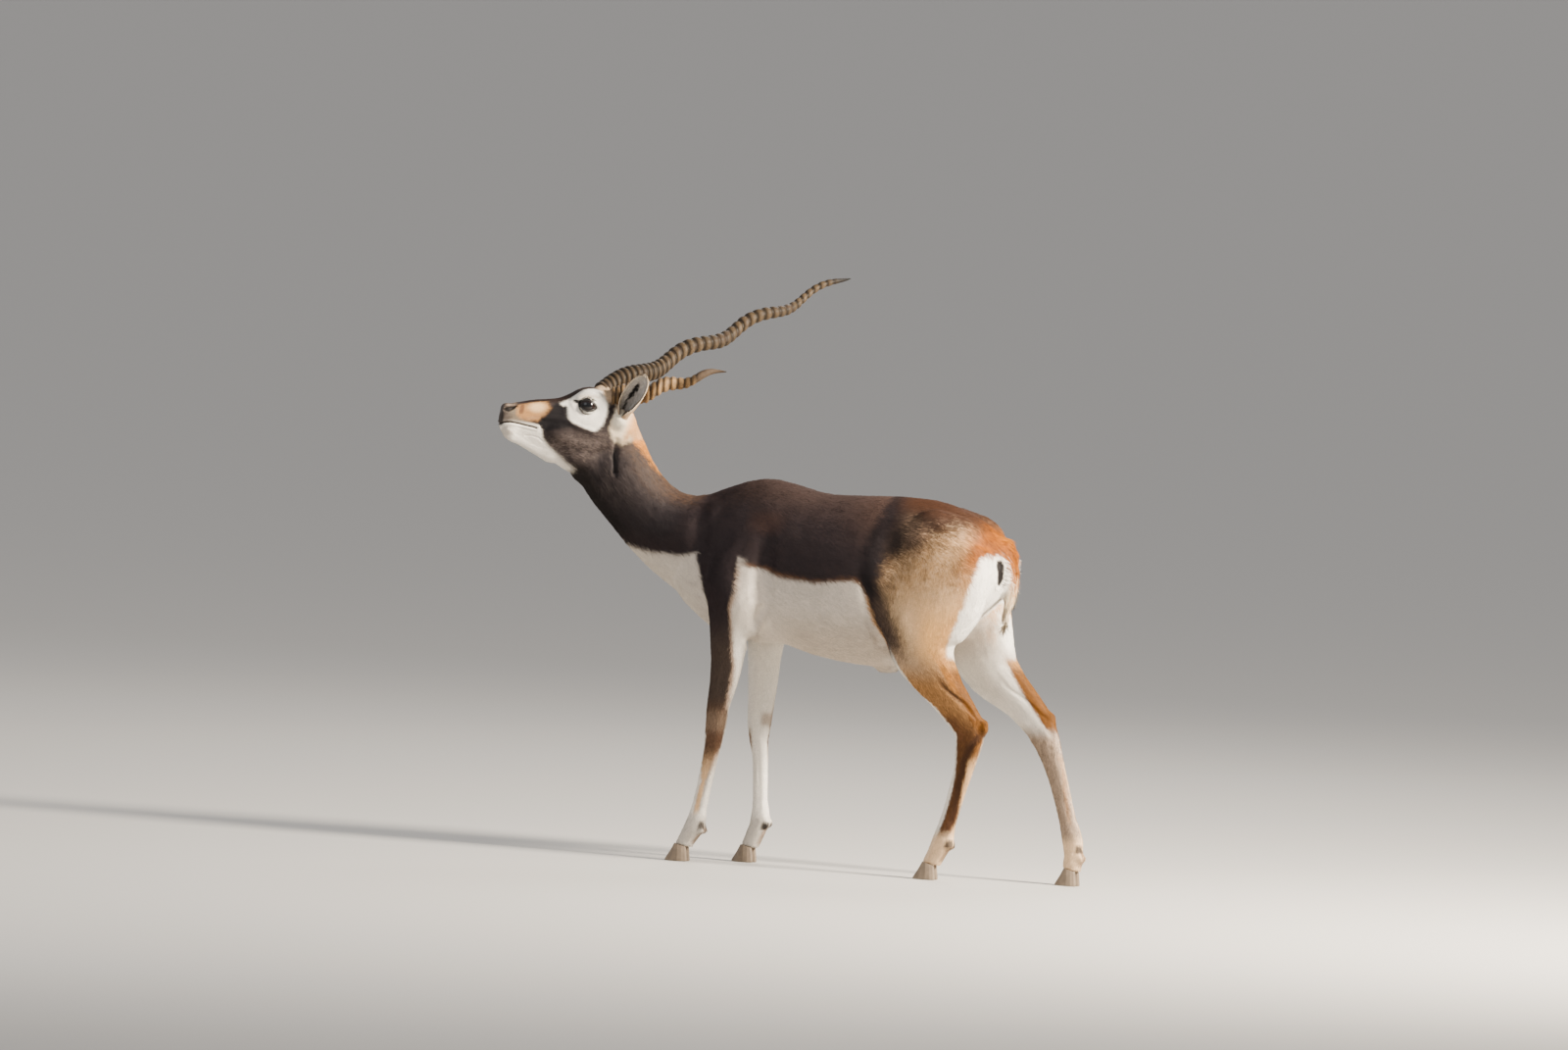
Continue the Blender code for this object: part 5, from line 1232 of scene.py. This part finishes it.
def make_coat(skin, material, rng):
    """Short hair over the whole skin, lying as it grows."""
    spots, normals = scatter(skin.data, rng)
    located = locate(spots)
    keep = ~bare(spots, located)
    spots, normals = spots[keep], normals[keep]
    located = tuple(item[:, keep] for item in located)
    length, width, _ = hair_size(spots, located)
    flow = coat_flow(spots, normals, located)
    angle = (noise(spots, 42, 51) - 0.5) * 0.7 + (rng.random(len(spots)) - 0.5) * 0.42
    flow = turn_flow(flow, normals, angle)
    stray = rng.standard_normal(spots.shape) * length[:, None] * 0.2
    colours = coat_colour(spots + stray, located)
    pale = ramp(colours.mean(axis=1), 0.35, 0.65)
    grizzled = ramp(colours.mean(axis=1), 0.026, 0.07) * ramp(colours.mean(axis=1), 0.33, 0.23)
    salt = rng.random(len(spots)) ** 2 * 1.3 - 0.43
    colours = colours * (1 + (0.42 - 0.3 * pale) * (rng.random(len(spots)) - 0.5) + grizzled * salt)[:, None]
    length = length * (0.75 + 0.5 * rng.random(len(spots)))
    lift = length * (0.03 + 0.13 * rng.random(len(spots)) ** 2)
    tufts = (spots, normals, flow, colours, length, width, lift, unwrap(spots, located))
    part = located[0].argmax(axis=0)
    groups = {"head": ["head"], "neck": ["neck"], "trunk": ["trunk", "tail"],
              "forelegs": ["fore_left", "fore_right"], "hindlegs": ["hind_left", "hind_right"]}
    for name, members in groups.items():
        pick = np.isin(part, [PARTS.index(member) for member in members])
        grow(name, *(item[pick] for item in tufts), material)


def make_ear_coat(ears, material, rng):
    """Hair on the ears: short behind, longer inside, leaning from both edges over the cleft."""
    for side, lean, name in ears:
        count = EAR_TUFTS
        t = rng.random(count) ** 0.8 * 0.98
        a = rng.random(count) * 2 - 1
        within = rng.random(count) < 0.5
        place, inward, run = ear_surface(side, lean, t, a)
        face = np.where(within, 1.0, -1.0)[:, None]
        normal = inward * face
        spot = place + normal * 0.0008
        across = np.cross(run, inward) * np.sign(np.cross(run, inward) @ FACING)[:, None]
        centred = across * (np.sign(a) * np.where(within, 0.35, 0.0))[:, None]
        flow = run + centred * ramp(np.abs(a), 0.1, 0.4)[:, None]
        flow -= normal * dots(flow, normal)[:, None]
        flow = turn_flow(unit_rows(flow), normal, (rng.random(count) - 0.5) * 0.5)
        # The cleft's painted shade is left mostly bare of tufts.
        cleft = within & (cleft_gap(t, a) < 0.11) & (t < 0.7)
        keep = ~cleft | (rng.random(count) < 0.25)
        colours = ear_colours(t, a, within.astype(float), spot) * (0.8 + 0.4 * rng.random(count))[:, None]
        length = np.where(within, 0.0085, 0.0055) * (0.7 + 0.6 * rng.random(count)) * (1 - 0.35 * t)
        lift = length * np.where(within, 0.25, 0.08) * rng.random(count)
        width = np.full(count, 0.0008)
        sheet = np.column_stack([0.02 + 0.4 * t + (0.5 if side == RIGHT else 0),
                                 0.7 + 0.12 * (a + 1) / 2 + 0.14 * within])
        tufts = (spot, normal, flow, colours, length, width, lift, sheet)
        grow("ear_" + name, *(item[keep] for item in tufts), material)


def shader_tree(name, **values):
    """A new material, its nodes and its principled shader with some input values."""
    material = bpy.data.materials.new(name)
    material.use_nodes = True
    shader = material.node_tree.nodes["Principled BSDF"]
    set_node(material.node_tree, shader, values)
    return material, material.node_tree, shader


def set_node(tree, node, values):
    """Give a node its settings, its input values and the outputs that lead to its inputs."""
    for key, value in values.items():
        if isinstance(value, bpy.types.NodeSocket):
            tree.links.new(value, node.inputs[key.replace("_", " ")])
        elif hasattr(node, key):
            setattr(node, key, value)
        else:
            node.inputs[key.replace("_", " ")].default_value = value


def add_node(tree, kind, output, *links, **values):
    """One output of a new shader node, with links to the node's first inputs."""
    node = tree.nodes.new("ShaderNode" + kind)
    set_node(tree, node, values)
    for index, link in enumerate(links):
        tree.links.new(link, node.inputs[index])
    return node.outputs[output]


def add_grain(tree, scale):
    """Fine noise fixed to the object."""
    place = add_node(tree, "TexCoord", "Object")
    return add_node(tree, "TexNoise", "Fac", place, Scale=scale, Detail=4.0, Roughness=0.6)


def toned_mark(tree, height, low, high, dark, bright):
    """The markings, darker and brighter with a height."""
    mark = add_node(tree, "Attribute", "Color", attribute_name="mark")
    tone = add_node(tree, "MapRange", "Result", height, From_Min=low, From_Max=high, To_Min=dark,
                    To_Max=bright)
    return add_node(tree, "VectorMath", "Vector", mark, operation="SCALE", Scale=tone)


def finish_shader(tree, shader, colour, height, bump, depth):
    """Give a shader its colour, and a fine relief where it has one."""
    set_node(tree, shader, {"Base_Color": colour})
    if bump:
        raised = add_node(tree, "Bump", "Normal", Strength=bump, Distance=depth, Height=height)
        set_node(tree, shader, {"Normal": raised})


def hair_material(name, streak_scale, bump, roughness):
    """Short hair: colour from the markings, broken up in fine streaks that follow the hair's lie."""
    material, tree, shader = shader_tree(name, Roughness=roughness, Specular_IOR_Level=0.14,
                                         Sheen_Weight=0.03, Sheen_Roughness=0.45)
    lie = add_node(tree, "Attribute", "Vector", attribute_name="lie")
    place = add_node(tree, "TexCoord", "Object")
    along = add_node(tree, "VectorMath", "Value", place, lie, operation="DOT_PRODUCT")
    back = add_node(tree, "VectorMath", "Vector", lie, operation="SCALE", Scale=along)
    shrunk = add_node(tree, "VectorMath", "Vector", back, operation="SCALE", Scale=0.9)
    across = add_node(tree, "VectorMath", "Vector", place, shrunk, operation="SUBTRACT")
    streak = add_node(tree, "TexNoise", "Fac", across, Scale=streak_scale, Detail=3.0, Roughness=0.62)
    finish_shader(tree, shader, toned_mark(tree, streak, 0.25, 0.75, 0.72, 1.26), streak, bump, 0.001)
    return material


def plain_node_material(name, low, high, scale, roughness, bump=0.15):
    """A mottled surface between two colours."""
    material, tree, shader = shader_tree(name, Roughness=roughness)
    grain = add_grain(tree, scale)
    mix = tree.nodes.new("ShaderNodeMix")
    mix.data_type = "RGBA"
    mix.inputs[6].default_value = (*low, 1)
    mix.inputs[7].default_value = (*high, 1)
    tree.links.new(grain, mix.inputs[0])
    finish_shader(tree, shader, mix.outputs[2], grain, bump, 0.0008)
    return material


def marked_material(name, roughness, scale, bump, coat=0.0, specular=0.4):
    """A surface that takes its colour from the markings, with a fine grain."""
    material, tree, shader = shader_tree(name, Roughness=roughness, Coat_Weight=coat, Coat_Roughness=0.03,
                                         Specular_IOR_Level=specular)
    grain = add_grain(tree, scale)
    finish_shader(tree, shader, toned_mark(tree, grain, 0.3, 0.7, 0.8, 1.2), grain, bump, 0.0006)
    return material


def make_camera():
    """A long lens from the photograph's side."""
    right, up = (Vector(axis) for axis in picture_axes())
    back = right.cross(up)
    target = Vector(SHIFT) + right * VIEW_RIGHT + up * VIEW_UP
    data = bpy.data.cameras.new("camera")
    data.sensor_width = SENSOR_WIDTH
    data.lens = SENSOR_WIDTH * VIEW_DISTANCE / VIEW_WIDTH
    data.clip_end = 4000
    camera = link_object("camera", data)
    turn = Matrix((right, up, back)).transposed().to_4x4()
    camera.matrix_world = Matrix.Translation(target + back * VIEW_DISTANCE) @ turn
    bpy.context.scene.camera = camera


def add_light(name, azimuth, height, distance, size, power, colour):
    """A large soft lamp that looks at the animal's middle."""
    data = bpy.data.lights.new(name, "AREA")
    data.shape = "DISK"
    data.size = size
    data.energy = power
    data.color = colour
    lamp = link_object(name, data)
    a, e = math.radians(azimuth), math.radians(height)
    away = Vector((math.sin(a) * math.cos(e), -math.cos(a) * math.cos(e), math.sin(e)))
    lamp.location = Vector((0.0, 0.0, 0.55)) + away * distance
    lamp.rotation_euler = away.to_track_quat("Z", "Y").to_euler()


def make_stage():
    """A plain pale floor, a pale surround and soft lamps."""
    bm = bmesh.new()
    bmesh.ops.create_grid(bm, x_segments=1, y_segments=1, size=1500)
    floor = link_object("floor", bm_to_mesh(bm, bpy.data.meshes.new("floor")))
    floor.location.z = -0.0005
    floor.data.materials.append(shader_tree("floor", Base_Color=(0.5, 0.48, 0.45, 1), Roughness=0.9)[0])
    world = bpy.data.worlds.new("surround")
    world.use_nodes = True
    set_node(world.node_tree, world.node_tree.nodes["Background"],
             {"Color": (0.8, 0.8, 0.82, 1), "Strength": 0.74})
    bpy.context.scene.world = world
    add_light("key", 80, 27, 4.0, 0.9, 840, (1.0, 0.9, 0.76))
    add_light("fill", -16, 26, 5.0, 3.0, 45, (0.97, 0.98, 1.0))
    add_light("rim", 190, 40, 4.5, 1.8, 90, (1.0, 0.95, 0.88))


def main():
    """Dress the solids."""
    rng = np.random.default_rng(7)
    make_camera()
    make_stage()
    hair = hair_material("short_hair", 620, 0.28, 0.62)
    skin = make_skin(hair)
    wet = marked_material("wet_eye", 0.14, 300, 0.0, 0.3, 0.22)
    rim = plain_node_material("lid_rim", (0.006, 0.005, 0.005), (0.012, 0.01, 0.009), 300, 0.35, 0.1)
    make_eyes(wet)
    make_lid_rims(rim)
    make_horns(marked_material("horn", 0.58, 900, 0.3, 0.0, 0.18))
    ears = make_ears(hair)
    tuft = marked_material("tufts", 0.6, 500, 0.0, 0.0, 0.12)
    make_coat(skin, tuft, rng)
    make_ear_coat(ears, tuft, rng)
    hoof = plain_node_material("hoof", (0.09, 0.066, 0.046), (0.27, 0.2, 0.135), 70, 0.45)
    for name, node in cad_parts.items():
        for slot in node.material_slots:
            if name.startswith("hoof"):
                slot.material = hoof
    meshes = [obj.data for obj in bpy.data.objects if obj.type == "MESH"]
    print("triangles", sum(len(mesh.loops) - 2 * len(mesh.polygons) for mesh in meshes))


main()
